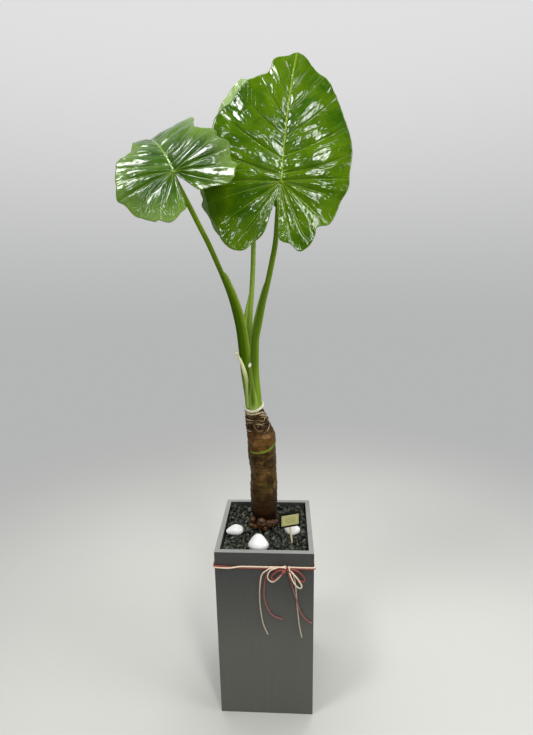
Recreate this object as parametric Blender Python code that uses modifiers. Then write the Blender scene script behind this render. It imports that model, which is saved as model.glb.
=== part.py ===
# Potted alocasia: a square planter, a ringed trunk and three large quilted leaves.
# Units are metres, +Z is up, the origin is the centre of the planter's base and
# the front face looks along -Y.
import math

import bmesh
import bpy
import numpy as np
from mathutils import Matrix, Vector

MM = 0.001
GAP = 0.0003

# Planter and its filling
POT_WIDTH = 0.200
POT_HEIGHT = 0.400
POT_WALL = 0.010
POT_EDGE = 0.002
DRAIN_RADIUS = 0.006
DRAIN_OFFSET = 0.045
SOIL_TOP = 0.378
GRAVEL_TOP = 0.390
CHIP_SIZE = 0.010
CHIP_STEP = 0.0058

# Trunk: height, sideways place and diameter, all in millimetres
TRUNK_DEPTH = 0.022
TRUNK_STATIONS = (
    (330, -5, 46), (372, -5, 50), (400, -4, 51), (416, -4, 53), (424, -5, 58), (470, -5, 59),
    (516, -5, 57), (549, -7, 60), (590, -8, 62), (616, -11, 59), (641, -18, 52), (657, -23, 45),
    (667, -23, 40))
TRUNK_TOP = 0.667
TRUNK_RINGS = 60
SCAR_PITCH = 0.0140
SCAR_DEPTH = 0.0011
CORMLETS = ((-30, 5, 403, 7.0), (-24, -4, 398, 7.0), (-8, -5, 408, 7.0), (4, -5, 403, 6.5))

# Petioles: sideways, depth and height in millimetres, from the crown to just under the blade
CROWN = Vector((-0.0235, 0.020, TRUNK_TOP + GAP))
PETIOLES = {
    "petiole_left": dict(
        foot=(-8.4, -4.0), blade="blade_left", top_radius=4.5, sheath_end=0.62,
        route=((-38, 14, 741), (-42, 10, 801), (-47, 3, 847), (-59, -8, 899), (-79, -21, 954),
               (-95, -31, 996), (-110, -41, 1030), (-124, -50, 1062))),
    "petiole_back": dict(
        foot=(0.0, 10.6), blade="blade_back", top_radius=3.9, sheath_end=0.40,
        route=((-29, 31, 741), (-32, 35, 812), (-30, 39, 853), (-26, 43, 896), (-22, 50, 954),
               (-20, 57, 998), (-16, 62, 1058))),
    "petiole_front": dict(
        foot=(8.4, -4.0), blade="blade_front", top_radius=4.4, sheath_end=0.60,
        route=((-19, 13, 742), (-17, 11, 811), (-12, 9, 834), (-1, 6, 882), (10, 2, 921),
               (20, -3, 964), (28, -9, 1004), (33, -14, 1063))),
}
FOOT_RADIUS = 0.0080
SHEATH_RADIUS = 0.0084
STALK_NECK = 0.010
STALK_RINGS = 34

# The papery base of an old leaf and the foot of a cut stalk, in millimetres
DRY_SHEATH_ROUTE = ((-33.5, 8.0, CROWN.z / MM), (-36, 5.0, 700), (-39, 1.0, 738), (-47, -2.0, 770),
                    (-56, -6.0, 791))
DRY_SHEATH_HALF_WIDTHS = (5.0, 6.6, 5.2, 1.0)
DRY_SHEATH_CURL = 2.2
DRY_SHEATH_ROWS = 12
DRY_SHEATH_COLUMNS = 7
STUB_FOOT = (-0.022, 0.001, CROWN.z)
STUB_ROUTE = ((-22, 1.0, 670), (-22, 0.5, 685), (-22.5, -0.5, 705), (-25, -1.5, 735), (-27.5, -2.5, 763))
STUB_RADII = (0.0052, 0.0058, 0.0046, 0.0034)
STUB_RINGS = 14

# Blades. Margins are in millimetres in the leaf's own plane: across to its right and along
# towards its tip, from the top of the basal notch round one lobe to the tip.
BLADE_THICKNESS = 0.0008
LOBE_ROWS = 14
UPPER_ROWS = 16
BLADE_COLUMNS = 9
LOBE_VEINS = 5
UPPER_VEINS = 6
PUCKER = 0.0022
MARGIN_WAVE = 0.0040
BLADES = {
    "blade_front": dict(
        seat=(0.0390, -0.0250, 1.1033), tip_way=(0.073, 0.196, 0.978), face_way=(0.029, -0.981, 0.194),
        arch=60, lobe_arch=-60, fold=(6, 6), droop=(160, 160), twist=0, rib_bow=13,
        left=((-8, -25), (-15, -45), (-14, -75), (-20, -98), (-40, -114), (-58, -129), (-82, -128),
              (-101, -111), (-108, -92), (-125, -68), (-132, -45), (-140, -20), (-143, 15), (-139, 50),
              (-133, 85), (-129, 109), (-118, 131), (-102, 146), (-89, 166), (-73, 184), (-56, 195),
              (-36, 211), (-28, 233), (-2, 247), (13, 256)),
        right=((-8, -25), (-4, -45), (0, -76), (4, -106), (24, -113), (40, -125), (57, -115), (67, -97),
               (70, -80), (91, -72), (102, -54), (111, -27), (123, -3), (124, 25), (126, 65), (114, 109),
               (98, 150), (84, 174), (70, 198), (42, 225), (22, 251), (13, 256))),
    "blade_left": dict(
        seat=(-0.1446, -0.0650, 1.1159), tip_way=(-0.410, 0.380, 0.829), face_way=(0.263, -0.822, 0.506),
        arch=330, lobe_arch=0, fold=(-4, 30), droop=(170, 115), twist=-60, rib_bow=0,
        left=((0, -8), (-5, -31), (-6, -60), (-3, -73), (-16, -80), (-38, -90), (-56, -78), (-64, -78),
              (-89, -55), (-98, -29), (-108, -14), (-100, 10), (-97, 26), (-89, 45), (-82, 60),
              (-66, 69), (-53, 78), (-43, 98), (-35, 124), (-27, 156), (-15, 188), (0, 215)),
        right=((0, -8), (10, -24), (19, -35), (27, -57), (50, -65), (76, -75), (90, -69), (94, -60),
               (102, -49), (97, -35), (103, -15), (105, 1), (93, 18), (96, 38), (83, 49), (71, 60),
               (75, 78), (85, 100), (88, 118), (84, 134), (66, 150), (48, 172), (27, 198), (0, 215))),
    "blade_back": dict(
        seat=(-0.0118, 0.0550, 1.1085), tip_way=(-0.136, 0.175, 0.975), face_way=(-0.148, -0.976, 0.155),
        arch=60, lobe_arch=-30, fold=(4, 4), droop=(150, 150), twist=0, rib_bow=0,
        left=((0, -20), (-8, -40), (-14, -70), (-30, -92), (-55, -100), (-80, -88), (-100, -60),
              (-109, -32), (-121, -8), (-115, 4), (-119, 25), (-112, 62), (-94, 100), (-70, 140),
              (-59, 172), (-39, 197), (-29, 216), (-15, 226), (0, 236)),
        right=((0, -20), (14, -24), (30, -30), (40, -46), (48, -66), (60, -78), (76, -70), (92, -45),
               (102, -15), (106, 20), (104, 55), (97, 90), (84, 125), (66, 160), (45, 190), (22, 215),
               (0, 236))),
}

# Pebbles: place and half sizes in millimetres, turn about Z in degrees
PEBBLES = {
    "pebble_left": dict(place=(-68, -20, 396), half=(19.5, 14.0, 10.5), turn=12),
    "pebble_front": dict(place=(-13, -65, 401), half=(21.5, 17.5, 16.5), turn=0),
    "pebble_right": dict(place=(57, -15, 396), half=(18.5, 14.0, 11.0), turn=-15),
}

# Plant tag
TAG_BOARD = (0.043, 0.0015, 0.030)
TAG_LABEL = (0.037, 0.0004, 0.0235)
TAG_STICK = (0.0042, 0.0016, 0.140)
TAG_CENTRE = Vector((0.0525, -0.0537, 0.4450))
TAG_TILT = math.radians(-10)
STICK_SIDE = 0.0585
STICK_LEAN = math.radians(-5)

# Tie: two cords round the pot, with a bow and four tails. Routes are in millimetres.
CORD_RADIUS = 0.0015
BAND_HEIGHTS = {"tie_band_cream": 0.3698, "tie_band_red": 0.3665}
BAND_CORNER = 0.0030
KNOT_PLACE = Vector((0.0488, -0.1068, 0.3705))
KNOT_HALF = (0.0050, 0.0032, 0.0046)
BOW = {
    "tie_loop_cream_left": ((43.4, -107.8, 372), (36, -108.8, 375), (27, -108.8, 374), (14, -108.8, 368),
                            (8, -107.8, 358), (8, -106.8, 347), (16, -105.8, 339), (25, -106.8, 345),
                            (33, -108.8, 356), (38, -108.8, 364), (43.4, -107.8, 368)),
    "tie_loop_red_left": ((43.6, -111.3, 370), (36, -112.3, 371), (28, -112.3, 369), (19, -112.3, 362),
                          (15, -111.3, 354), (18, -110.3, 347), (24, -111.3, 351), (31, -112.3, 359),
                          (37, -112.3, 364), (43.6, -111.3, 366)),
    "tie_loop_cream_right": ((51, -109.8, 364.5), (54, -112.0, 356), (59, -112.3, 344), (66, -111.3, 333),
                             (73, -110.3, 329), (75, -110.3, 335), (70, -111.3, 346), (64, -112.3, 356),
                             (58, -111.9, 363), (54.2, -110.9, 368)),
    "tie_loop_red_right": ((54.4, -107.6, 370), (61, -108.6, 369), (70, -108.6, 364), (79, -107.6, 353),
                           (81, -106.6, 344), (76, -106.6, 341), (68, -107.6, 349), (61, -107.6, 358),
                           (54.4, -107.6, 366)),
    "tie_tail_cream_left": ((43.4, -104.9, 374.6), (30, -104.9, 371.4), (14, -104.9, 369.6),
                            (5, -104.7, 364), (-3, -102.4, 355), (-7, -101.9, 343), (-10, -101.9, 310),
                            (-9, -101.9, 273), (-4, -101.9, 236), (5, -101.9, 209)),
    "tie_tail_red_left": ((43.4, -104.9, 365.4), (30, -104.9, 366.6), (18, -104.9, 365.8),
                          (9, -104.7, 360), (4, -102.4, 350), (1, -101.9, 335), (-1, -101.9, 315),
                          (0, -101.9, 292), (8, -101.9, 268), (19, -101.9, 254), (35, -101.9, 247)),
    "tie_tail_cream_right": ((52, -104.9, 364.4), (57, -103, 356), (61, -101.9, 343),
                             (64, -101.9, 315), (66, -101.9, 285), (69, -101.9, 248),
                             (72, -101.9, 224), (76, -101.9, 204)),
    "tie_tail_red_right": ((48.4, -104.9, 362.6), (50, -104.9, 352), (54, -105.1, 340),
                           (59, -105.2, 318), (65, -105.2, 297), (71, -105.0, 274),
                           (82, -102.4, 251), (96, -101.9, 239)),
}


def clear_scene():
    for item in list(bpy.data.objects):
        bpy.data.objects.remove(item, do_unlink=True)


def new_collection(name):
    group = bpy.data.collections.new(name)
    bpy.context.scene.collection.children.link(group)
    return group


def principled(name, colour, roughness, metallic=0.0):
    material = bpy.data.materials.new(name)
    material.use_nodes = True
    shader = material.node_tree.nodes["Principled BSDF"]
    shader.inputs["Base Color"].default_value = (*colour, 1.0)
    shader.inputs["Roughness"].default_value = roughness
    shader.inputs["Metallic"].default_value = metallic
    return material


def place_object(name, data, material, group):
    item = bpy.data.objects.new(name, data)
    if material is not None:
        data.materials.append(material)
    group.objects.link(item)
    return item


def mesh_from_bmesh(name, shape, smooth=False):
    mesh = bpy.data.meshes.new(name)
    shape.to_mesh(mesh)
    shape.free()
    if smooth:
        mesh.shade_smooth()
    return mesh


def make_cutter(item):
    item.hide_render = True
    item.display_type = "WIRE"
    return item


def cut_with(item, cutter):
    modifier = item.modifiers.new("cut_" + cutter.name, "BOOLEAN")
    modifier.operation = "DIFFERENCE"
    modifier.object = cutter


def box_mesh(name, size):
    shape = bmesh.new()
    bmesh.ops.create_cube(shape, size=1.0)
    bmesh.ops.scale(shape, vec=size, verts=shape.verts)
    return mesh_from_bmesh(name, shape)


def smooth_line(points, count):
    """Evenly spaced points on a Catmull-Rom curve through the given points."""
    knots = np.array(points, dtype=float)
    padded = np.vstack([2 * knots[0] - knots[1], knots, 2 * knots[-1] - knots[-2]])
    fine = []
    steps = np.linspace(0.0, 1.0, 12, endpoint=False)
    for a, b, c, d in zip(padded, padded[1:], padded[2:], padded[3:]):
        for t in steps:
            fine.append(0.5 * (2 * b + (c - a) * t + (2 * a - 5 * b + 4 * c - d) * t ** 2
                               + (3 * b - 3 * c + d - a) * t ** 3))
    fine.append(padded[-2])
    fine = np.array(fine)
    travel = np.concatenate([[0.0], np.cumsum(np.linalg.norm(np.diff(fine, axis=0), axis=1))])
    wanted = np.linspace(0.0, travel[-1], count)
    return np.stack([np.interp(wanted, travel, fine[:, axis]) for axis in range(3)], axis=1)


def tube_curve(name, points, radii, closed=False, resolution=2):
    """A round tube along the points, with its own radius at each."""
    curve = bpy.data.curves.new(name, "CURVE")
    curve.dimensions = "3D"
    curve.bevel_depth = 1.0
    curve.bevel_resolution = resolution
    curve.use_fill_caps = not closed
    spline = curve.splines.new("POLY")
    spline.points.add(len(points) - 1)
    spline.use_cyclic_u = closed
    spline.use_smooth = True
    for target, point, radius in zip(spline.points, points, radii):
        target.co = (*point, 1.0)
        target.radius = radius
    return curve


def tube_as_mesh(name, points, radii, resolution):
    """The same tube as a closed mesh, for Boolean work."""
    curve = tube_curve(name, points, radii, resolution=resolution)
    holder = bpy.data.objects.new(name + "_curve", curve)
    bpy.context.scene.collection.objects.link(holder)
    graph = bpy.context.evaluated_depsgraph_get()
    mesh = bpy.data.meshes.new_from_object(holder.evaluated_get(graph))
    bpy.data.objects.remove(holder, do_unlink=True)
    bpy.data.curves.remove(curve)
    shape = bmesh.new()
    shape.from_mesh(mesh)
    bpy.data.meshes.remove(mesh)
    bmesh.ops.remove_doubles(shape, verts=shape.verts, dist=1e-6)
    return mesh_from_bmesh(name, shape, smooth=True)


def build_planter(group, cutters):
    shape = bmesh.new()
    bmesh.ops.create_cube(shape, size=1.0)
    bmesh.ops.scale(shape, vec=(POT_WIDTH, POT_WIDTH, POT_HEIGHT), verts=shape.verts)
    bmesh.ops.translate(shape, vec=(0, 0, POT_HEIGHT / 2), verts=shape.verts)
    lid = [face for face in shape.faces if face.normal.z > 0.5]
    bmesh.ops.delete(shape, geom=lid, context="FACES_ONLY")
    material = principled("dark_stone_finish", (0.065, 0.067, 0.064), 0.75)
    planter = place_object("planter", mesh_from_bmesh("planter", shape), material, group)
    shell = planter.modifiers.new("wall", "SOLIDIFY")
    shell.thickness = POT_WALL
    shell.offset = -1.0
    shell.use_even_offset = True
    for index, (x, y) in enumerate(((-1, -1), (1, -1), (1, 1), (-1, 1))):
        drill = bmesh.new()
        bmesh.ops.create_cone(drill, cap_ends=True, segments=16, radius1=DRAIN_RADIUS,
                              radius2=DRAIN_RADIUS, depth=4 * POT_WALL)
        mesh = mesh_from_bmesh("drain_cutter", drill)
        cutter = place_object("drain_cutter_%d" % index, mesh, None, cutters)
        cutter.location = (x * DRAIN_OFFSET, y * DRAIN_OFFSET, POT_WALL / 2)
        cut_with(planter, make_cutter(cutter))
    edges = planter.modifiers.new("edges", "BEVEL")
    edges.width = POT_EDGE
    edges.segments = 2
    edges.limit_method = "ANGLE"
    edges.angle_limit = math.radians(60)


def trunk_points(rings, grow=0.0):
    """Centre line and radii of the trunk, with a ridge at each old leaf's scar."""
    stations = np.array(TRUNK_STATIONS) * MM
    heights = np.linspace(stations[0, 0], stations[-1, 0], rings)
    sideways = np.interp(heights, stations[:, 0], stations[:, 1])
    radii = np.interp(heights, stations[:, 0], stations[:, 2]) / 2
    phase = (heights / SCAR_PITCH) % 1.0
    above_ground = heights > GRAVEL_TOP + 0.012
    radii = radii - np.where(above_ground, SCAR_DEPTH * phase, 0.0)
    points = [(x, TRUNK_DEPTH, z) for x, z in zip(sideways, heights)]
    return points, radii + grow


def place_cormlet(name, index, group, grow=0.0):
    x, y, z, radius = CORMLETS[index]
    shape = bmesh.new()
    bmesh.ops.create_icosphere(shape, subdivisions=2, radius=radius * MM + grow)
    bmesh.ops.scale(shape, vec=(1.0, 1.0, 1.15), verts=shape.verts)
    bulb = place_object(name, mesh_from_bmesh(name, shape), None, group)
    bulb.location = Vector((x, y, z)) * MM
    return bulb


def build_trunk(group):
    points, radii = trunk_points(rings=TRUNK_RINGS)
    mesh = tube_as_mesh("trunk", points, radii, resolution=5)
    material = principled("ringed_bark", (0.16, 0.095, 0.045), 0.8)
    trunk = place_object("trunk", mesh, material, group)
    bulbs = new_collection("cormlet_bulbs")
    for index in range(len(CORMLETS)):
        place_cormlet("cormlet", index, bulbs)
    join = trunk.modifiers.new("cormlets", "BOOLEAN")
    join.operation = "UNION"
    join.operand_type = "COLLECTION"
    join.collection = bulbs
    apply_modifiers(trunk)
    for bulb in list(bulbs.objects):
        bpy.data.objects.remove(bulb, do_unlink=True)
    bpy.data.collections.remove(bulbs)
    return trunk


def apply_modifiers(item):
    graph = bpy.context.evaluated_depsgraph_get()
    mesh = bpy.data.meshes.new_from_object(item.evaluated_get(graph))
    item.modifiers.clear()
    item.data = mesh


def trunk_cutter(cutters):
    """The trunk a little larger, to open soil and gravel round it."""
    points, radii = trunk_points(rings=TRUNK_RINGS, grow=GAP)
    points[0] = (points[0][0], points[0][1], points[0][2] - GAP)
    mesh = tube_as_mesh("trunk_cutter", points, radii, resolution=5)
    return make_cutter(place_object("trunk_cutter", mesh, None, cutters))


def gravel_height(x, y, chips):
    """Height of the bed at a point: the tilted top of the nearest stone chip."""
    nearest = np.argmin((chips[:, 0] - x) ** 2 + (chips[:, 1] - y) ** 2)
    cx, cy, lift, slope_x, slope_y = chips[nearest]
    return GRAVEL_TOP + lift + slope_x * (x - cx) + slope_y * (y - cy)


def build_soil_and_gravel(group, cutters, foot, stick):
    inner = POT_WIDTH - 2 * POT_WALL - 2 * GAP
    depth = SOIL_TOP - POT_WALL - GAP
    soil = place_object("soil", box_mesh("soil", (inner, inner, depth)),
                        principled("potting_soil", (0.045, 0.028, 0.018), 0.95), group)
    soil.location = (0, 0, SOIL_TOP - depth / 2)
    chamfer = soil.modifiers.new("chamfer", "BEVEL")
    chamfer.width = POT_EDGE * 1.2
    chamfer.segments = 1
    cut_with(soil, foot)
    cut_with(soil, stick)

    random = np.random.default_rng(7)
    count = int((inner / CHIP_SIZE) ** 2)
    chips = np.column_stack([random.uniform(-inner / 2, inner / 2, (count, 2)),
                             random.uniform(-0.0030, 0.0015, count),
                             random.uniform(-0.35, 0.35, (count, 2))])
    cells = int(inner / CHIP_STEP)
    shape = bmesh.new()
    bmesh.ops.create_grid(shape, x_segments=cells, y_segments=cells, size=inner / 2)
    for vert in shape.verts:
        vert.co.z = gravel_height(vert.co.x, vert.co.y, chips)
        if min(abs(vert.co.x), abs(vert.co.y)) > inner / 2 - MM:
            vert.co.x -= math.copysign(0.6 * POT_EDGE, vert.co.x)
            vert.co.y -= math.copysign(0.6 * POT_EDGE, vert.co.y)
    rim = [edge for edge in shape.edges if edge.is_boundary]
    skirt = bmesh.ops.extrude_edge_only(shape, edges=rim)["geom"]
    for vert in [item for item in skirt if isinstance(item, bmesh.types.BMVert)]:
        vert.co.z = SOIL_TOP + GAP
    underside = [item for item in skirt if isinstance(item, bmesh.types.BMEdge) and item.is_boundary]
    bmesh.ops.contextual_create(shape, geom=underside)
    bmesh.ops.recalc_face_normals(shape, faces=shape.faces)
    bmesh.ops.triangulate(shape, faces=shape.faces)
    gravel = place_object("gravel", mesh_from_bmesh("gravel", shape),
                          principled("dark_gravel", (0.035, 0.040, 0.034), 0.55), group)
    cut_with(gravel, foot)
    cut_with(gravel, stick)
    for index in range(len(CORMLETS)):
        bulb = place_cormlet("cormlet_cutter_%d" % index, index, cutters, grow=2 * GAP)
        cut_with(gravel, make_cutter(bulb))
    return gravel


def pebble_mesh(name, half, grow=0.0):
    """A water-worn stone: an ellipsoid a little fuller on one side."""
    shape = bmesh.new()
    bmesh.ops.create_icosphere(shape, subdivisions=3, radius=1.0)
    for vert in shape.verts:
        x, y, z = vert.co
        fuller = 1.0 + 0.10 * math.sin(2.0 * x + 1.0) * (1.0 - z * z)
        vert.co = Vector((x * (half[0] * MM + grow), y * fuller * (half[1] * MM + grow),
                          z * (1.0 - 0.12 * x) * (half[2] * MM + grow)))
    return mesh_from_bmesh(name, shape, smooth=True)


def build_pebbles(group, cutters, gravel):
    material = principled("white_pebble", (0.86, 0.86, 0.84), 0.35)
    for name, spec in PEBBLES.items():
        turn = Matrix.Rotation(math.radians(spec["turn"]), 4, "Z")
        place = Matrix.Translation(Vector(spec["place"]) * MM) @ turn
        pebble = place_object(name, pebble_mesh(name, spec["half"]), material, group)
        pebble.matrix_world = place
        mesh = pebble_mesh(name + "_cutter", spec["half"], grow=GAP)
        bed = place_object(name + "_cutter", mesh, None, cutters)
        bed.matrix_world = place
        cut_with(gravel, make_cutter(bed))


def arc(travel, start, bend):
    """Forward and upward travel along an arc that starts at an angle and bends down evenly."""
    if abs(bend) < 1e-6:
        return travel * math.cos(start), travel * math.sin(start)
    end = start - bend * travel
    return (math.sin(start) - math.sin(end)) / bend, (math.cos(end) - math.cos(start)) / bend


class BladeForm:
    """The curved surface of one blade, in metres, from places in the leaf's own plane."""

    def __init__(self, spec):
        self.spec = spec
        self.seat = Vector(spec["seat"])
        self.tip = Vector(spec["tip_way"]).normalized()
        face = Vector(spec["face_way"])
        self.face = (face - self.tip * face.dot(self.tip)).normalized()
        self.across = self.tip.cross(self.face)
        self.length = spec["left"][-1][1] * MM

    def frame(self, along):
        """Place on the midrib, and the ways across and out of the blade there."""
        bend = math.radians(self.spec["arch"] if along > 0 else self.spec["lobe_arch"])
        forward, rise = arc(along, 0.0, bend)
        centre = self.seat + self.tip * forward + self.face * rise
        turn = bend * along
        out = self.tip * math.sin(turn) + self.face * math.cos(turn)
        roll = math.radians(self.spec["twist"]) * along
        across = self.across * math.cos(roll) + out * math.sin(roll)
        return centre, across, out * math.cos(roll) - self.across * math.sin(roll)

    def rib(self, along):
        """Sideways bow of the midrib at a distance along the blade."""
        return self.spec["rib_bow"] * MM * (max(along, 0.0) / self.length) ** 2

    def point(self, sideways, along, lift=0.0):
        centre, across, out = self.frame(along)
        rib = self.rib(along)
        width = sideways - rib
        side = 1 if width > 0 else 0
        fold = math.radians(self.spec["fold"][side])
        droop = math.radians(self.spec["droop"][side])
        reach, rise = arc(abs(width), fold, droop)
        return centre + across * (rib + math.copysign(reach, width)) + out * (rise + lift)


def margin_stations(outline):
    """Places round the margin, evenly spaced round the lobe and then up to the tip."""
    fine = smooth_line([(x * MM, y * MM, 0.0) for x, y in outline], 240)
    shoulder = next(index for index, spot in enumerate(fine) if spot[1] > 0.01)
    lobe = smooth_line(fine[:shoulder + 1], LOBE_ROWS + 1)
    upper = smooth_line(fine[shoulder:], UPPER_ROWS + 1)
    stations = [(row / LOBE_ROWS * LOBE_VEINS, 0.0, lobe[row]) for row in range(LOBE_ROWS)]
    for row in range(UPPER_ROWS + 1):
        part = row / UPPER_ROWS
        stations.append((LOBE_VEINS + part * UPPER_VEINS, part ** 2, upper[row]))
    return stations


def blade_rows(form, side):
    """Grid of places for half a blade: its rows run outwards beside the veins."""
    last = LOBE_VEINS + UPPER_VEINS
    rows = []
    for vein, climb, edge in margin_stations(form.spec[side]):
        start = Vector((form.rib(climb * form.length), climb * form.length))
        end = Vector(edge[:2])
        sag = Vector((0.0, -0.06 * (end - start).length)) if climb > 0 else Vector((0.0, 0.0))
        swell = math.sin(math.pi * (vein % 1.0)) ** 0.8
        fade = min(1.0, vein / 2, (last - vein) / 2)
        row = []
        for step in np.linspace(0.0, 1.0, BLADE_COLUMNS):
            spot = start.lerp(end, step) + sag * (4 * step * (1 - step))
            lift = PUCKER * swell * math.sin(math.pi * min(1.0, step * 1.15)) ** 0.7
            wave = MARGIN_WAVE * step ** 3 * math.sin(math.pi * vein)
            row.append(form.point(spot.x, spot.y, (lift + wave) * fade))
        rows.append(row)
    return rows


def build_blade(name, group, material):
    form = BladeForm(BLADES[name])
    shape = bmesh.new()
    for side, outward in (("left", False), ("right", True)):
        grid = [[shape.verts.new(spot) for spot in row] for row in blade_rows(form, side)]
        for near, far in zip(grid, grid[1:]):
            for a, b, c, d in zip(near, near[1:], far[1:], far):
                corners = (a, b, c, d) if outward else (d, c, b, a)
                shape.faces.new(corners)
    bmesh.ops.remove_doubles(shape, verts=shape.verts, dist=1e-5)
    bmesh.ops.dissolve_degenerate(shape, edges=shape.edges, dist=1e-6)
    bmesh.ops.triangulate(shape, faces=shape.faces)
    blade = place_object(name, mesh_from_bmesh(name, shape, smooth=True), material, group)
    body = blade.modifiers.new("thickness", "SOLIDIFY")
    body.thickness = BLADE_THICKNESS
    body.offset = -1.0
    return form


def build_petiole(name, form, group, material):
    """A stalk whose sheathing foot clasps the crown and whose top meets the blade's back."""
    spec = PETIOLES[name]
    foot = CROWN + Vector((spec["foot"][0], spec["foot"][1], 0.0)) * MM
    under = form.seat - form.face * (BLADE_THICKNESS + GAP)
    points = [foot + Vector((0, 0, 0.003)), foot + Vector((0, 0, 0.018))]
    points += [Vector(spot) * MM for spot in spec["route"]]
    points += [under - form.face * STALK_NECK - form.tip * STALK_NECK / 3]
    line = [foot] + [Vector(spot) for spot in smooth_line(points, STALK_RINGS - 3)]
    line += [under - form.face * STALK_NECK / 2, under]
    travel = np.linspace(0.0, 1.0, STALK_RINGS)
    end = spec["sheath_end"]
    top = spec["top_radius"] * MM
    marks = (0.0, 0.10, end - 0.10, end, end + 0.03, 1.0)
    widths = (FOOT_RADIUS, SHEATH_RADIUS, SHEATH_RADIUS * 0.95, top + 1.6 * MM, top + 0.6 * MM, top * 0.85)
    radii = np.interp(travel, marks, widths)
    place_object(name, tube_curve(name, line, radii, resolution=3), material, group)


def build_dry_sheath(group):
    """The papery base of an old leaf, standing in front of the left stalk."""
    shape = bmesh.new()
    spine = smooth_line(DRY_SHEATH_ROUTE, DRY_SHEATH_ROWS)
    climb = np.linspace(0.0, 1.0, DRY_SHEATH_ROWS)
    half_widths = np.interp(climb, (0.0, 0.3, 0.6, 1.0), DRY_SHEATH_HALF_WIDTHS)
    previous = None
    for spot, half in zip(spine, half_widths):
        row = []
        for step in np.linspace(-1.0, 1.0, DRY_SHEATH_COLUMNS):
            depth = spot[1] + DRY_SHEATH_CURL * (step * step - 1.3)
            row.append(shape.verts.new(Vector((spot[0] + step * half, depth, spot[2])) * MM))
        if previous:
            for a, b, c, d in zip(previous, previous[1:], row[1:], row):
                shape.faces.new((a, b, c, d))
        previous = row
    bmesh.ops.triangulate(shape, faces=shape.faces)
    sheath = place_object("dry_sheath", mesh_from_bmesh("dry_sheath", shape, smooth=True),
                          principled("papery_sheath", (0.62, 0.55, 0.30), 0.7), group)
    body = sheath.modifiers.new("thickness", "SOLIDIFY")
    body.thickness = BLADE_THICKNESS
    body.offset = -1.0


def build_petiole_stub(group):
    """The foot of a stalk that was cut off, in front of the other three."""
    line = [STUB_FOOT, *smooth_line([Vector(spot) * MM for spot in STUB_ROUTE], STUB_RINGS - 1)]
    radii = np.interp(np.linspace(0.0, 1.0, STUB_RINGS), (0.0, 0.3, 0.55, 1.0), STUB_RADII)
    place_object("petiole_stub", tube_curve("petiole_stub", line, radii, resolution=3),
                 principled("cut_stub", (0.35, 0.42, 0.12), 0.6), group)


def build_tag(group, cutters):
    def standing(size, name, material, centre, tilt):
        item = place_object(name, box_mesh(name, size), material, group)
        item.matrix_world = Matrix.Translation(centre) @ Matrix.Rotation(tilt, 4, "Y")
        return item

    black = principled("black_board", (0.015, 0.015, 0.016), 0.5)
    standing(TAG_BOARD, "tag_board", black, TAG_CENTRE, TAG_TILT)
    front = TAG_CENTRE - Vector((0, (TAG_BOARD[1] + TAG_LABEL[1]) / 2 + GAP, 0))
    standing(TAG_LABEL, "tag_label", principled("bare_label", (0.62, 0.66, 0.25), 0.6), front, TAG_TILT)
    behind = (TAG_BOARD[1] + TAG_STICK[1]) / 2 + GAP
    centre = Vector((STICK_SIDE, TAG_CENTRE.y + behind, TAG_CENTRE.z - TAG_STICK[2] / 2))
    material = principled("cream_stick", (0.72, 0.66, 0.45), 0.5)
    stick = standing(TAG_STICK, "tag_stick", material, centre, STICK_LEAN)
    slot_size = [side + 2 * GAP for side in TAG_STICK]
    slot = place_object("stick_cutter", box_mesh("stick_cutter", slot_size), None, cutters)
    slot.matrix_world = stick.matrix_world.copy()
    return make_cutter(slot)


def band_line(height):
    """A square with round corners, just off the planter's faces."""
    half = POT_WIDTH / 2 + CORD_RADIUS + GAP
    inner = half - BAND_CORNER
    points = []
    for quarter, (sx, sy) in enumerate(((1, 1), (-1, 1), (-1, -1), (1, -1))):
        for step in range(4):
            angle = math.pi / 2 * (quarter + step / 3)
            points.append((sx * inner + BAND_CORNER * math.cos(angle),
                           sy * inner + BAND_CORNER * math.sin(angle), height))
    return points


def build_tie(group):
    cream = principled("cream_cord", (0.85, 0.72, 0.55), 0.7)
    red = principled("salmon_cord", (0.60, 0.16, 0.11), 0.7)
    for name, height in BAND_HEIGHTS.items():
        points = band_line(height)
        band = tube_curve(name, points, [CORD_RADIUS] * len(points), closed=True)
        place_object(name, band, cream if "cream" in name else red, group)
    shape = bmesh.new()
    bmesh.ops.create_icosphere(shape, subdivisions=3, radius=1.0)
    bmesh.ops.scale(shape, vec=KNOT_HALF, verts=shape.verts)
    knot = place_object("tie_knot", mesh_from_bmesh("tie_knot", shape, smooth=True), red, group)
    knot.location = KNOT_PLACE
    for name, route in BOW.items():
        points = [Vector(spot) * MM for spot in route]
        length = sum((b - a).length for a, b in zip(points, points[1:]))
        count = max(8, round(length / (3 * 2 * CORD_RADIUS)))
        line = smooth_line(points, count)
        cord = tube_curve(name, line, [CORD_RADIUS] * count)
        place_object(name, cord, cream if "cream" in name else red, group)


def main():
    clear_scene()
    group = new_collection("potted_alocasia")
    cutters = new_collection("cutters")
    build_planter(group, cutters)
    build_trunk(group)
    slot = build_tag(group, cutters)
    gravel = build_soil_and_gravel(group, cutters, trunk_cutter(cutters), slot)
    build_pebbles(group, cutters, gravel)
    leaf_green = principled("glossy_leaf", (0.09, 0.24, 0.02), 0.28)
    stalk_green = principled("stalk", (0.22, 0.33, 0.06), 0.4)
    forms = {name: build_blade(name, group, leaf_green) for name in BLADES}
    for name, spec in PETIOLES.items():
        build_petiole(name, forms[spec["blade"]], group, stalk_green)
    build_dry_sheath(group)
    build_petiole_stub(group)
    build_tie(group)


main()
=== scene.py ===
import math

import bmesh
import bpy
import numpy as np
from mathutils import Matrix, Vector


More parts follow.
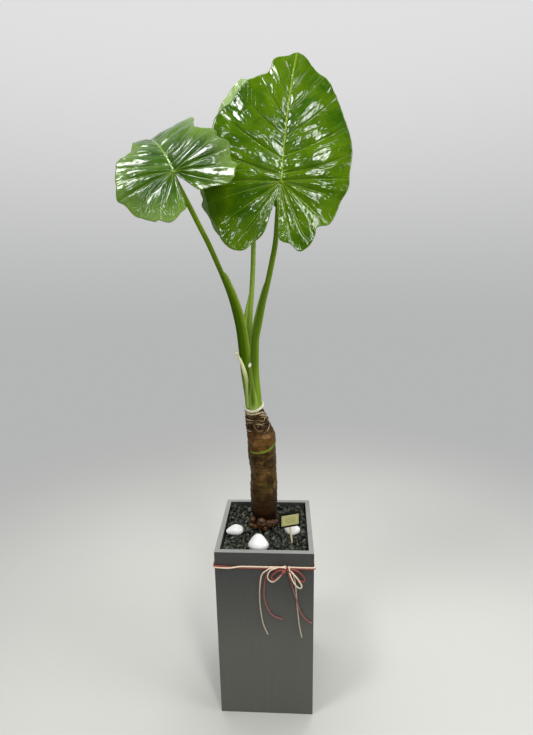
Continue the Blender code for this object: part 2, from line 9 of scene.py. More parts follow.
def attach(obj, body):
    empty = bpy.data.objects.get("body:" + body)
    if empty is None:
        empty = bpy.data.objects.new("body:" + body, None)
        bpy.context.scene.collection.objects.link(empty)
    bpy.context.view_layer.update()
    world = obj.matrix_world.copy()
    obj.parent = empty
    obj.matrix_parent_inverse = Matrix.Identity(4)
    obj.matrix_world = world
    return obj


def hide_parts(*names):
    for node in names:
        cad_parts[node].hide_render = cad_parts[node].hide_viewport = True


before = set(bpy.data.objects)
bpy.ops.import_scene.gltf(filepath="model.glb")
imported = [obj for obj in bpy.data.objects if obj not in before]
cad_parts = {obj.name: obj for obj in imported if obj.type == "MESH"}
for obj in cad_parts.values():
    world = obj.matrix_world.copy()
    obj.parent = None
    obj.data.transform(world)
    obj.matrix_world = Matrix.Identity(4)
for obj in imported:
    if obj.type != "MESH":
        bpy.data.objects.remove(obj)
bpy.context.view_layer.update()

mm = 0.001
print("frame loaded:", len(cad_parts), "nodes")


# camera

cameraView = {
    "place": (0.04906, -0.82383, 0.94032),
    "down": 12.5977,     # degrees below level
    "turn": 2.9782,      # degrees to the left of straight ahead
    "roll": -0.9191,
    "lens": 20.3265,
}


def placeCamera():
    down, turn, roll = (math.radians(cameraView[key]) for key in ("down", "turn", "roll"))
    ahead = Vector((-math.sin(turn) * math.cos(down), math.cos(turn) * math.cos(down), -math.sin(down)))
    level = Vector((math.cos(turn), math.sin(turn), 0.0))
    upright = level.cross(ahead)
    right = math.cos(roll) * level + math.sin(roll) * upright
    up = math.cos(roll) * upright - math.sin(roll) * level
    data = bpy.data.cameras.new("photoCamera")
    data.lens = cameraView["lens"]
    data.sensor_width = 36.0
    camera = bpy.data.objects.new("photoCamera", data)
    bpy.context.scene.collection.objects.link(camera)
    pose = Matrix((right, up, -ahead)).transposed().to_4x4()
    pose.translation = cameraView["place"]
    camera.matrix_world = pose
    bpy.context.scene.camera = camera


placeCamera()
print("camera placed")


# helpers for numbers and lines

def ramp(value, width, start=0.0):
    # 0 up to the start, 1 from one width above it
    return np.clip((value - start) / width, 0.0, 1.0)


def ease(share):
    return share * share * (3 - 2 * share)


def bell(value, width, power=2):
    return np.exp(-(value / width) ** power)


def roundAngles(count):
    return np.linspace(0.0, 2 * math.pi, count, endpoint=False)


def lineTravel(line):
    return np.concatenate([[0.0], np.cumsum(np.linalg.norm(np.diff(line, axis=0), axis=1))])


def lineAt(wanted, travel, line):
    return np.stack([np.interp(wanted, travel, line[:, axis]) for axis in range(3)], axis=1)


def smoothLine(points, count):
    # evenly spaced points on a smooth curve through the given ones
    knots = np.array(points, dtype=float)
    padded = np.vstack([2 * knots[0] - knots[1], knots, 2 * knots[-1] - knots[-2]])
    fine = []
    for a, b, c, d in zip(padded, padded[1:], padded[2:], padded[3:]):
        for t in np.linspace(0.0, 1.0, 12, endpoint=False):
            fine.append(0.5 * (2 * b + (c - a) * t + (2 * a - 5 * b + 4 * c - d) * t ** 2
                               + (3 * b - 3 * c + d - a) * t ** 3))
    fine.append(padded[-2])
    fine = np.array(fine)
    travel = lineTravel(fine)
    return lineAt(np.linspace(0.0, travel[-1], count), travel, fine)


def softNoise(x, y, seed):
    # smooth random hills over two coordinates, from about -1 to 1
    side = 61
    lattice = np.random.default_rng(seed).uniform(-1.0, 1.0, (side, side))
    column, row = np.floor(x).astype(int), np.floor(y).astype(int)
    across, along = ease(x - column), ease(y - row)

    def corner(dx, dy):
        return lattice[(column + dx) % side, (row + dy) % side]

    near = corner(0, 0) * (1 - across) + corner(1, 0) * across
    far = corner(0, 1) * (1 - across) + corner(1, 1) * across
    return near * (1 - along) + far * along


# helpers for meshes: a form is a list of points and a list of faces

def showObject(name, mesh, *materials):
    for material in materials:
        mesh.materials.append(material)
    item = bpy.data.objects.new(name, mesh)
    bpy.context.scene.collection.objects.link(item)
    return item


def meshFrom(name, verts, faces, smooth=True):
    mesh = bpy.data.meshes.new(name)
    mesh.from_pydata(np.asarray(verts, float).tolist(), [], faces)
    if smooth:
        mesh.shade_smooth()
    return mesh


def heapMesh(name, heap, smooth=True):
    # one mesh from several closed forms
    faces, count = [], 0
    for points, sides in heap:
        faces += [tuple(index + count for index in face) for face in sides]
        count += len(points)
    return meshFrom(name, np.vstack([points for points, _ in heap]), faces, smooth)


def boxShape(size, place=(0.0, 0.0, 0.0)):
    shape = bmesh.new()
    bmesh.ops.create_cube(shape, size=1.0)
    bmesh.ops.scale(shape, vec=size, verts=shape.verts)
    bmesh.ops.translate(shape, vec=place, verts=shape.verts)
    return shape


def shapeMesh(name, shape):
    mesh = bpy.data.meshes.new(name)
    shape.to_mesh(mesh)
    shape.free()
    return mesh


def shapeForm(shape):
    shape.verts.index_update()
    points = np.array([vert.co for vert in shape.verts])
    faces = [tuple(vert.index for vert in face.verts) for face in shape.faces]
    shape.free()
    return points, faces


def pointValues(mesh, **values):
    # numbers kept on the mesh's points, for its material to read
    for name, numbers in values.items():
        layer = mesh.attributes.new(name, "FLOAT", "POINT")
        layer.data.foreach_set("value", np.asarray(numbers, np.float32).ravel())


def settle(piece, slot, *nodes):
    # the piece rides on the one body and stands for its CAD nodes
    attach(piece, "root")
    if nodes:
        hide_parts(*nodes)
    return piece


def tubeGrid(line, radii, sides, startSide=(1.0, 0.0, 0.0), closed=False, fixedSide=False):
    # points of a tube round a line; radii is one a ring, or one for each point of each ring
    line = np.asarray(line, float)
    if closed:
        ahead = np.roll(line, -1, axis=0) - np.roll(line, 1, axis=0)
    else:
        ahead = np.gradient(line, axis=0)
    ahead = ahead / np.linalg.norm(ahead, axis=1)[:, None]
    sideways = []
    side = np.array(startSide, float)
    for way in ahead:
        if fixedSide:
            side = np.array(startSide, float)
        side = side - way * side.dot(way)
        side = side / np.linalg.norm(side)
        sideways.append(side)
    sideways = np.array(sideways)
    rise = np.cross(ahead, sideways)
    angles = roundAngles(sides)
    radii = np.asarray(radii, float)
    if radii.ndim == 1:
        radii = np.repeat(radii[:, None], sides, axis=1)
    spokes = (np.cos(angles)[None, :, None] * sideways[:, None, :]
              + np.sin(angles)[None, :, None] * rise[:, None, :])
    return line[:, None, :] + radii[..., None] * spokes


def tubeFaces(rings, sides, closed=False):
    faces = []
    for ring in range(rings if closed else rings - 1):
        low, high = ring * sides, (ring + 1) % rings * sides
        for spoke in range(sides):
            after = (spoke + 1) % sides
            faces.append((low + spoke, low + after, high + after, high + spoke))
    if not closed:
        faces.append(tuple(reversed(range(sides))))
        faces.append(tuple(range((rings - 1) * sides, rings * sides)))
    return faces


def tubeForm(line, radii, sides, *way):
    points = tubeGrid(line, radii, sides, *way)
    return points.reshape(-1, 3), tubeFaces(len(line), sides, *way[1:])


def ovalRadii(angle, across, deep):
    return 1.0 / np.sqrt((np.cos(angle) / across) ** 2 + (np.sin(angle) / deep) ** 2)


def gridFaces(rows, columns, first=0, flip=False):
    faces = []
    for row in range(rows - 1):
        for column in range(columns - 1):
            a = first + row * columns + column
            quad = (a, a + 1, a + columns + 1, a + columns)
            faces.append(quad[::-1] if flip else quad)
    return faces


def sheetForm(front, thickness):
    # closes a grid of points into a thin sheet: thickness lies behind the front
    rows, columns = front.shape[:2]
    out = np.cross(np.gradient(front, axis=1), np.gradient(front, axis=0))
    out = out / np.maximum(np.linalg.norm(out, axis=2), 1e-12)[..., None]
    back = front - out * thickness
    count = rows * columns
    faces = gridFaces(rows, columns) + gridFaces(rows, columns, count, flip=True)
    rim = list(range(columns))
    rim += [row * columns + columns - 1 for row in range(1, rows)]
    rim += [(rows - 1) * columns + column for column in reversed(range(columns - 1))]
    rim += [row * columns for row in reversed(range(1, rows - 1))]
    faces += [(far, near, near + count, far + count) for near, far in zip(rim, rim[1:] + rim[:1])]
    return np.vstack([front.reshape(-1, 3), back.reshape(-1, 3)]), faces


# helpers for materials

def addNode(tree, kind, inputs=None, **settings):
    item = tree.nodes.new(kind)
    for key, value in settings.items():
        setattr(item, key, value)
    for key, value in (inputs or {}).items():
        plug = item.inputs[key]
        if isinstance(value, bpy.types.NodeSocket):
            tree.links.new(value, plug)
        else:
            plug.default_value = (*value, 1.0) if plug.type == "RGBA" else value
    return item


def calc(tree, operation, first, second=0.0, third=0.0):
    return addNode(tree, "ShaderNodeMath", {0: first, 1: second, 2: third}, operation=operation).outputs[0]


def times(tree, first, second):
    return calc(tree, "MULTIPLY", first, second)


def awayFrom(tree, value, middle):
    return calc(tree, "ABSOLUTE", calc(tree, "SUBTRACT", value, middle))


def fadeOff(tree, value, start, end, top=1.0, bottom=0.0):
    # top below start, bottom above end, smooth between them
    item = addNode(tree, "ShaderNodeMapRange", {"Value": value, "From Min": start, "From Max": end,
                                                "To Min": top, "To Max": bottom},
                   interpolation_type="SMOOTHSTEP")
    return item.outputs["Result"]


def blendColours(tree, factor, first, second):
    return addNode(tree, "ShaderNodeMix", {0: factor, 6: first, 7: second}, data_type="RGBA").outputs[2]


def grain(tree, place, scale, detail=3.0, roughness=0.55, distortion=0.0):
    item = addNode(tree, "ShaderNodeTexNoise", {"Vector": place, "Scale": scale, "Detail": detail,
                                                "Roughness": roughness, "Distortion": distortion})
    return item.outputs[0]


def objectPlace(tree, stretch=None):
    place = addNode(tree, "ShaderNodeTexCoord").outputs["Object"]
    if stretch:
        place = addNode(tree, "ShaderNodeMapping", {"Vector": place, "Scale": stretch}).outputs[0]
    return place


def axesOf(tree, way):
    return addNode(tree, "ShaderNodeSeparateXYZ", {0: way}).outputs


def sourceOf(tree, sources, name):
    # a noise or sum of the material, the height or the upward share of the surface, or a value on the mesh
    if name not in sources:
        if name == "height":
            sources[name] = axesOf(tree, objectPlace(tree))[2]
        elif name == "upward":
            sources[name] = axesOf(tree, addNode(tree, "ShaderNodeNewGeometry").outputs["Normal"])[2]
        else:
            sources[name] = addNode(tree, "ShaderNodeAttribute", attribute_name=name).outputs["Fac"]
    return sources[name]


def makeSkin(skin, moreSources=None):
    # A material from a piece's settings. Noises are a stretch, a scale and the noise's own values; sums
    # are shares of sources. Coats lie over the base: each is a source, its steps and a colour. With no
    # steps it shows as much as the source says, and with one it shows that share of it. With two it fades
    # from full to none between two values of the source. With four the last two say how strong it is there.
    material = bpy.data.materials.new(skin["name"])
    material.use_nodes = True
    tree = material.node_tree
    shader = tree.nodes["Principled BSDF"]
    shader.inputs["Roughness"].default_value = skin["rough"]
    for key, value in skin.get("fixed", {}).items():
        shader.inputs[key].default_value = value
    sources = {}
    for name, (stretch, *noise) in skin.get("noises", {}).items():
        sources[name] = grain(tree, objectPlace(tree, stretch), *noise)
    if moreSources:
        moreSources(tree, sources)
    for name, shares in skin.get("sums", {}).items():
        total = 0.0
        for source, share in reversed(shares):
            total = calc(tree, "MULTIPLY_ADD", sourceOf(tree, sources, source), share, total)
        sources[name] = total
    base = skin["base"]
    for source, *steps, colour in skin["coats"]:
        amount = sourceOf(tree, sources, source)
        if len(steps) == 1:
            amount = times(tree, amount, steps[0])
        elif steps:
            amount = fadeOff(tree, amount, *steps)
        base = blendColours(tree, amount, base, sources.get(colour, colour))
    tree.links.new(base, shader.inputs["Base Color"])
    if "roughBy" in skin:
        source, share, least = skin["roughBy"]
        tree.links.new(calc(tree, "MULTIPLY_ADD", sources[source], share, least), shader.inputs["Roughness"])
    if "relief" in skin:
        source, distance, strength = skin["relief"]
        bump = addNode(tree, "ShaderNodeBump", {"Height": sources[source], "Distance": distance,
                                                "Strength": strength})
        tree.links.new(bump.outputs[0], shader.inputs["Normal"])
    return material


# tie: two cords round the planter with a bow

tie = {
    "radius": 0.0015,
    "plies": 3,
    "plyDepth": 0.16,
    "layLength": 0.011,      # travel of one full turn of a ply
    "ringStep": 0.0007,
    "sides": 14,
    "bandHeights": {"Cream": 0.3698, "Red": 0.3665},
    "bandHalf": 0.1018,
    "bandCorner": 0.0030,
    "cornerSteps": 6,
    "crossing": -0.069,      # left of this the red cord lies above the cream one
    "crossingLong": 0.044,
    "crossingOut": {"Cream": 0.0031, "Red": 0.0},
    "crossingHalf": 0.016,      # half length of the cream cord's way out there
    "knotPlace": (0.0488, -0.1068, 0.3705),
    "routes": {
        "LoopCreamLeft": ((43.4, -107.8, 372), (36, -108.8, 375), (27, -108.8, 374), (14, -108.8, 368),
                          (8, -107.8, 358), (8, -106.8, 347), (16, -105.8, 339), (25, -106.8, 345),
                          (33, -108.8, 356), (38, -108.8, 364), (43.4, -107.8, 368)),
        "LoopRedLeft": ((43.6, -111.3, 370), (36, -112.3, 371), (28, -112.3, 369), (19, -112.3, 362),
                        (15, -111.3, 354), (18, -110.3, 347), (24, -111.3, 351), (31, -112.3, 359),
                        (37, -112.3, 364), (43.6, -111.3, 366)),
        "LoopCreamRight": ((51, -109.8, 364.5), (54, -112.0, 356), (59, -112.3, 344), (66, -111.3, 333),
                           (73, -110.3, 329), (75, -110.3, 335), (70, -111.3, 346), (64, -112.3, 356),
                           (58, -111.9, 363), (54.2, -110.9, 368)),
        "LoopRedRight": ((54.4, -107.6, 370), (61, -108.6, 369), (70, -108.6, 364), (79, -107.6, 353),
                         (81, -106.6, 344), (76, -106.6, 341), (68, -107.6, 349), (61, -107.6, 358),
                         (54.4, -107.6, 366)),
        "TailCreamLeft": ((43.4, -104.9, 374.6), (30, -104.9, 371.4), (14, -104.9, 369.6),
                          (5, -104.7, 364), (-3, -102.4, 355), (-7, -101.9, 343), (-10, -101.9, 310),
                          (-9, -101.9, 273), (-4, -101.9, 236), (5, -101.9, 209)),
        "TailRedLeft": ((43.4, -104.9, 365.4), (30, -104.9, 366.6), (18, -104.9, 365.8),
                        (9, -104.7, 360), (4, -102.4, 350), (1, -101.9, 335), (-1, -101.9, 315),
                        (0, -101.9, 292), (8, -101.9, 268), (19, -101.9, 254), (35, -101.9, 247)),
        "TailCreamRight": ((52, -104.9, 364.4), (57, -103, 356), (61, -101.9, 343),
                           (64, -101.9, 315), (66, -101.9, 285), (69, -101.9, 248),
                           (72, -101.9, 224), (76, -101.9, 204)),
        "TailRedRight": ((48.4, -104.9, 362.6), (50, -104.9, 352), (54, -105.1, 340),
                         (59, -105.2, 318), (65, -105.2, 297), (71, -105.0, 274),
                         (82, -102.4, 251), (96, -101.9, 239)),
    },
    # light and dark of the plies, the dark along their fibres and, as painted shade, in the grooves between
    # them; then the duller hanging ends
    "colours": {"Cream": ((0.95, 0.80, 0.62), (0.74, 0.54, 0.40), (0.37, 0.34, 0.25)),
                "Red": ((0.40, 0.085, 0.060), (0.20, 0.030, 0.024), (0.27, 0.105, 0.09))},
    # the knot, in millimetres: half depth and height of its turns, then each turn's sideways place and slant
    "turnRings": 60,
    "turnHalf": (3.4, 4.3),
    "turnShifts": ((-1.6, 0.8), (1.6, -0.8)),
    "coreRings": 14,
    "coreSides": 16,
    "coreHalf": (4.4, 3.0),
}


def cordSkin(colour):
    light, dark, hanging = tie["colours"][colour]
    return {"name": "cord" + colour, "rough": 0.5, "noises": {"fibres": (None, 900.0, 4.0)},
            # the dark colour follows the fibres, and is painted shade in the grooves between the plies
            "sums": {"shade": (("fibres", 0.5), ("plyGroove", 0.6))}, "base": light,
            "coats": (("shade", dark), ("height", 0.318, 0.345, 0.85, 0.0, hanging)),
            "relief": ("fibres", 0.0002, 0.5)}


def cordForm(line, startSide=(0.0, 0.0, 1.0), closed=False):
    # a laid cord: its plies wind round the line and leave grooves between them
    travel = lineTravel(np.vstack([line, line[:1]]) if closed else line)
    turns = travel[-1] / tie["layLength"]
    turns = round(turns) if closed else turns
    travel = travel[:len(line)] / travel[-1] * turns * 2 * math.pi
    groove = 0.5 - 0.5 * np.cos(tie["plies"] * roundAngles(tie["sides"])[None, :] - travel[:, None])
    radii = tie["radius"] * (1.0 - tie["plyDepth"] * groove ** 2)
    return tubeForm(line, radii, tie["sides"], startSide, closed), groove


def showCord(name, form, skin):
    shape, groove = form
    mesh = meshFrom(name, *shape)
    pointValues(mesh, plyGroove=groove)
    return showObject(name, mesh, skin)


def bandLine(colour):
    # a square with round corners, just off the planter's faces, where the two cords cross at the left
    height = tie["bandHeights"][colour]
    other = sum(tie["bandHeights"].values()) - height
    inner = tie["bandHalf"] - tie["bandCorner"]
    corners = []
    for quarter, (sx, sy) in enumerate(((1, 1), (-1, 1), (-1, -1), (1, -1))):
        for angle in np.linspace(0.0, math.pi / 2, tie["cornerSteps"]) + quarter * math.pi / 2:
            corners.append((sx * inner + tie["bandCorner"] * math.cos(angle),
                            sy * inner + tie["bandCorner"] * math.sin(angle), height))
    line = []
    for near, far in zip(corners, corners[1:] + corners[:1]):
        near, far = np.array(near), np.array(far)
        steps = max(1, round(float(np.linalg.norm(far - near)) / tie["ringStep"]))
        line += [near + (far - near) * step / steps for step in range(steps)]
    line = np.array(line)
    past = ramp(tie["crossing"] + tie["crossingLong"] / 2 - line[:, 0], tie["crossingLong"])
    line[:, 2] += (other - height) * ease(past)
    push = tie["crossingOut"][colour] * bell(line[:, 0] - tie["crossing"], tie["crossingHalf"])
    line[:, 1] += np.sign(line[:, 1]) * push * (np.abs(line[:, 1]) > inner)
    return line


def makeTie():
    skins = {colour: makeSkin(cordSkin(colour)) for colour in tie["colours"]}
    for colour, skin in skins.items():
        band = showCord("tieBand" + colour, cordForm(bandLine(colour), closed=True), skin)
        settle(band, "cord_" + colour.lower(), "tie_band_" + colour.lower())
    for label, route in tie["routes"].items():
        words = [next(word for word in pair if word in label.lower())
                 for pair in (("loop", "tail"), ("cream", "red"), ("left", "right"))]
        kind, colour, _ = words
        route = np.array(route, float) * mm
        length = float(lineTravel(smoothLine(route, 120))[-1])
        line = smoothLine(route, round(length / tie["ringStep"]))
        cord = showCord("tie" + label, cordForm(line, (0.0, -1.0, 0.0)), skins[colour.capitalize()])
        settle(cord, "cord_" + colour, "_".join(["tie", *words]))
    makeKnot(skins["Red"], skins["Cream"])


def makeKnot(red, cream):
    # a core held by two slanting turns of cord
    centre = np.array(tie["knotPlace"])
    heap, grooves = [], []
    angles = roundAngles(tie["turnRings"])
    deep, tall = tie["turnHalf"]
    for shift, slant in tie["turnShifts"]:
        line = centre + np.stack([(shift + slant * np.sin(angles)) * mm, deep * mm * np.cos(angles),
                                  tall * mm * np.sin(angles)], axis=1)
        form, groove = cordForm(line, (1.0, 0.0, 0.0), closed=True)
        heap.append(form)
        grooves.append(groove.ravel())
    rings, sides = tie["coreRings"], tie["coreSides"]
    wide, thick = tie["coreHalf"]
    angles = np.linspace(0.02, math.pi - 0.02, rings)
    core = centre - np.stack([wide * mm * np.cos(angles), 0 * angles, 0 * angles], axis=1)
    heap.append(tubeForm(core, thick * mm * np.sin(angles), sides))
    mesh = heapMesh("tieKnot", heap)
    pointValues(mesh, plyGroove=np.concatenate(grooves + [np.zeros(rings * sides)]))
    paint = [number % 2 for number, (_, faces) in enumerate(heap) for _ in faces]
    mesh.polygons.foreach_set("material_index", paint)
    settle(showObject("tieKnot", mesh, red, cream), "cord_red", "tie_knot")


makeTie()
print("tie made")


# planter

planter = {
    "width": 0.200,
    "height": 0.400,
    "wall": 0.010,
    "edge": 0.0022,
    "drainRadius": 0.006,
    "drainSides": 40,
    "drainOffset": 0.045,
    "skin": {
        "name": "castStoneGrey", "rough": 0.62, "fixed": {"Specular IOR Level": 0.4},
        "noises": {"clouds": (None, 7.0), "speckle": (None, 420.0, 2.0), "fine": (None, 160.0, 4.0),
                   "streak": ((60.0, 60.0, 2.0), 1.0)},
        "sums": {"pores": (("fine", 1.0), ("speckle", 0.6))},
        "base": (0.047, 0.048, 0.046),
        # the first coat makes the walls lighter low down and darker towards the top: painted shade
        "coats": (("height", 0.16, 0.39, (0.106, 0.108, 0.089)),
                  ("clouds", 0.35, (0.078, 0.080, 0.070)),
                  ("streak", 0.35, (0.050, 0.051, 0.050)),
                  ("speckle", 0.30, 0.42, 0.55, 0.0, (0.030, 0.031, 0.031)),
                  ("speckle", 0.60, 0.72, 0.0, 0.45, (0.20, 0.20, 0.19)),
                  # faces that look up are lighter: dust on them, and painted light from above
                  ("upward", 0.3, 0.95, 0.0, 0.85, (0.31, 0.315, 0.295))),
        "roughBy": ("clouds", 0.25, 0.5),
        "relief": ("pores", 0.00025, 0.5),
    },
}


def makePlanter():
    wide, tall = planter["width"], planter["height"]
    box = boxShape((wide, wide, tall), (0.0, 0.0, tall / 2))
    lid = [face for face in box.faces if face.normal.z > 0.5]
    bmesh.ops.delete(box, geom=lid, context="FACES_ONLY")
    shell = showObject("planterShell", shapeMesh("planterShell", box), makeSkin(planter["skin"]))
    wall = shell.modifiers.new("wall", "SOLIDIFY")
    wall.thickness = planter["wall"]
    wall.offset = -1.0
    wall.use_even_offset = True
    drills = []
    for x, y in ((-1, -1), (-1, 1), (1, -1), (1, 1)):
        drill = bmesh.new()
        bmesh.ops.create_cone(drill, cap_ends=True, segments=planter["drainSides"],
                              radius1=planter["drainRadius"], radius2=planter["drainRadius"],
                              depth=4 * planter["wall"])
        cutter = showObject("drill", shapeMesh("drill", drill))
        cutter.location = (x * planter["drainOffset"], y * planter["drainOffset"], planter["wall"] / 2)
        cut = shell.modifiers.new("drain", "BOOLEAN")
        cut.operation = "DIFFERENCE"
        cut.object = cutter
        drills.append(cutter)
    edges = shell.modifiers.new("edges", "BEVEL")
    edges.width = planter["edge"]
    edges.segments = 4
    edges.limit_method = "ANGLE"
    edges.angle_limit = math.radians(60)
    edges.harden_normals = True
    applyModifiers(shell)
    for cutter in drills:
        bpy.data.objects.remove(cutter, do_unlink=True)
    settle(shell, "planter", "planter")


def applyModifiers(item):
    bpy.context.view_layer.update()
    graph = bpy.context.evaluated_depsgraph_get()
    mesh = bpy.data.meshes.new_from_object(item.evaluated_get(graph))
    item.modifiers.clear()
    item.data = mesh


makePlanter()
print("planter made")


# gravel, soil and pebbles

gravel = {
    "halfWidth": 0.0892,
    "bed": 0.3838,      # height of the closed bed under the chips
    "bedThick": 0.004,
    "layerPitch": 0.0076,
    "layerHeight": 0.3866,
    "looseCount": 260,
    "looseHeight": 0.3900,
    "backRise": 0.0040,      # how much higher the gravel lies at the back
    "chipHalf": (0.0042, 0.0080),
    "chipLean": 0.7,
    "chipBevel": 0.06,
    "chipCorners": 13,
    "chipShift": 0.0018,      # how far a chip may stand from its place in the layer
    "shapes": 26,
    "clearTrunk": 0.0245,
    "trunkPlace": (-0.0045, 0.022),
    "skin": {
        "name": "darkGravel", "rough": 0.4, "fixed": {"Specular IOR Level": 0.55},
        "noises": {"mottle": (None, 380.0, 4.0), "rust": (None, 90.0, 2.0), "fine": (None, 700.0, 4.0)},
        "base": (0.007, 0.009, 0.005),
        "coats": (("chipTone", (0.080, 0.090, 0.062)),
                  ("mottle", 0.52, 0.70, 0.0, 0.4, (0.15, 0.16, 0.11)),
                  ("rust", 0.60, 0.70, 0.0, 0.4, (0.10, 0.075, 0.05))),
        "roughBy": ("mottle", 0.45, 0.16),
        "relief": ("fine", 0.0004, 0.6),
    },
    "soilSkin": {
        "name": "pottingSoil", "rough": 0.95, "noises": {"crumbs": (None, 220.0, 5.0)},
        "base": (0.018, 0.011, 0.007), "coats": (("crumbs", (0.085, 0.055, 0.035)),),
        "relief": ("crumbs", 0.0012, 0.8),
    },
}

pebbles = {
    "pebbleLeft": {"node": "pebble_left", "place": (-68, -20, 396), "half": (19.5, 14.0, 11.3), "turn": 12,
                   "point": 0.27, "pointWay": (-1.0, 0.0, -0.15), "dent": 0.10},
    "pebbleFront": {"node": "pebble_front", "place": (-13, -68.2, 399.2), "half": (22.2, 18.5, 18.6),
                    "turn": 0, "point": 0.28, "pointWay": (-0.03, 0.45, 0.90), "dent": 0.0},
    "pebbleRight": {"node": "pebble_right", "place": (57, -15, 396), "half": (18.5, 14.0, 11.0), "turn": -15,
                    "point": 0.16, "pointWay": (0.1, -0.9, -0.4), "dent": 0.05},
}

pebbleForm = {
    "dentPlace": (-0.35, -0.4, 0.8),
    "dentWidth": 0.55,
    "lumps": 0.025,
    "skin": {
        "name": "whitePebble", "rough": 0.34, "fixed": {"Coat Weight": 0.25, "Coat Roughness": 0.14},
        "noises": {"cloud": (None, 55.0, 4.0), "thread": (None, 38.0, 6.0, 0.6, 1.6),
                   "fine": (None, 260.0)},
        "base": (0.88, 0.88, 0.86),
        "coats": (("cloud", (0.76, 0.76, 0.74)), ("line", 0.0, 0.022, 0.45, 0.0, (0.58, 0.58, 0.55))),
        "relief": ("fine", 0.0002, 0.25),
    },
}


def chipShapes(random):
    # a few angular stones, each the hull of points scattered in a flattened ball
    shapes = []
    for _ in range(gravel["shapes"]):
        stone = bmesh.new()
        for _ in range(gravel["chipCorners"]):
            way = random.normal(size=3)
            way = way / np.linalg.norm(way) * random.uniform(0.82, 1.0)
            stone.verts.new(way * (1.0, random.uniform(0.62, 0.9), random.uniform(0.42, 0.68)))
        hull = bmesh.ops.convex_hull(stone, input=stone.verts)
        spare = set(hull["geom_interior"]) | set(hull["geom_unused"])
        bmesh.ops.delete(stone, geom=[item for item in spare if isinstance(item, bmesh.types.BMVert)],
                         context="VERTS")
        bmesh.ops.bevel(stone, geom=stone.edges, offset=gravel["chipBevel"], segments=1, affect="EDGES")
        bmesh.ops.triangulate(stone, faces=stone.faces)
        shapes.append(shapeForm(stone))
    return shapes


def chipPlaces(random):
    # a layer in rows, then loose chips on top
    half = gravel["halfWidth"] - 0.004
    shift = gravel["chipShift"]
    marks = np.arange(-half, half + 1e-6, gravel["layerPitch"])
    places = [(x + random.uniform(-shift, shift), y + random.uniform(-shift, shift),
               gravel["layerHeight"] + random.uniform(-0.0012, 0.0016)) for x in marks for y in marks]
    places += [(*random.uniform(-half, half, 2), gravel["looseHeight"] + random.uniform(-0.001, 0.0015))
               for _ in range(gravel["looseCount"])]
    return [(x, y, z + gravel["backRise"] * max(0.0, 0.3 + 0.7 * y / half)) for x, y, z in places]


def hidesChip(x, y):
    # no chip stands in the trunk or in a pebble
    if math.hypot(x - gravel["trunkPlace"][0], y - gravel["trunkPlace"][1]) < gravel["clearTrunk"]:
        return True
    for pebble in pebbles.values():
        reach = [(value / mm - centre) / (size + 1.5)
                 for value, centre, size in zip((x, y), pebble["place"], pebble["half"])]
        if math.hypot(*reach) < 0.85:
            return True
    return False


def makeGravel():
    random = np.random.default_rng(11)
    shapes = chipShapes(random)
    lean = gravel["chipLean"]
    heap, tones = [], []
    for x, y, z in chipPlaces(random):
        size = random.uniform(*gravel["chipHalf"])
        stone, faces = shapes[random.integers(len(shapes))]
        turns = (random.uniform(0, 2 * math.pi), random.uniform(-lean, lean), random.uniform(-lean, lean))
        tone = random.uniform(0.0, 1.0) ** 2
        if hidesChip(x, y):
            continue
        spin = Matrix.Rotation(turns[0], 3, "Z") @ Matrix.Rotation(turns[1], 3, "X")
        chip = stone @ np.array(spin @ Matrix.Rotation(turns[2], 3, "Y")).T * size + (x, y, z)
        overhang = np.abs(chip[:, :2]).max(axis=0) - gravel["halfWidth"]
        chip[:, :2] -= np.sign((x, y)) * np.maximum(overhang, 0.0)
        heap.append((chip, faces))
        tones.append(np.full(len(chip), tone))
    # a closed bed under the chips, in the darkest tone: painted shade in the gaps between them
    wide, thick = 2 * gravel["halfWidth"], gravel["bedThick"]
    heap.append(shapeForm(boxShape((wide, wide, thick), (0.0, 0.0, gravel["bed"] - thick / 2))))
    tones.append(np.zeros(len(heap[-1][0])))
    mesh = heapMesh("gravelChips", heap, smooth=False)
    pointValues(mesh, chipTone=np.concatenate(tones))
    settle(showObject("gravelChips", mesh, makeSkin(gravel["skin"])), "gravel", "gravel")


def pebbleThreads(tree, sources):
    # faint grey threads where a noise passes its middle
    sources["line"] = awayFrom(tree, sources["thread"], 0.5)


def makePebbles():
    material = makeSkin(pebbleForm["skin"], pebbleThreads)
    hollow, wide = Vector(pebbleForm["dentPlace"]), pebbleForm["dentWidth"]
    for name, pebble in pebbles.items():
        stone = bmesh.new()
        bmesh.ops.create_icosphere(stone, subdivisions=6, radius=1.0)
        way = Vector(pebble["pointWay"]).normalized()
        half = [size * mm for size in pebble["half"]]
        seed = pebble["turn"] + 40
        for vert in stone.verts:
            spot = vert.co.copy()
            ahead = spot.dot(way)
            taper = 1.0 - pebble["point"] * ease(min(1.0, max(0.0, (ahead + 0.4) / 1.2)))
            spot = way * ahead + (spot - way * ahead) * taper
            dent = pebble["dent"] * math.exp(-((spot - hollow).length / wide) ** 2)
            swell = softNoise(np.array(3.1 + 1.3 * spot.x), np.array(2.3 + 1.3 * spot.y + spot.z), seed)
            spot *= 1.0 - dent + pebbleForm["lumps"] * float(swell)
            vert.co = (spot.x * half[0], spot.y * half[1], spot.z * half[2])
        mesh = shapeMesh(name, stone)
        mesh.shade_smooth()
        turn = Matrix.Rotation(math.radians(pebble["turn"]), 4, "Z")
        mesh.transform(Matrix.Translation(Vector(pebble["place"]) * mm) @ turn)
        settle(showObject(name, mesh, material), "pebble", pebble["node"])


makeGravel()
makePebbles()
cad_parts["soil"].data.materials.clear()
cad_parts["soil"].data.materials.append(makeSkin(gravel["soilSkin"]))
print("gravel, soil and pebbles made")


# plant tag

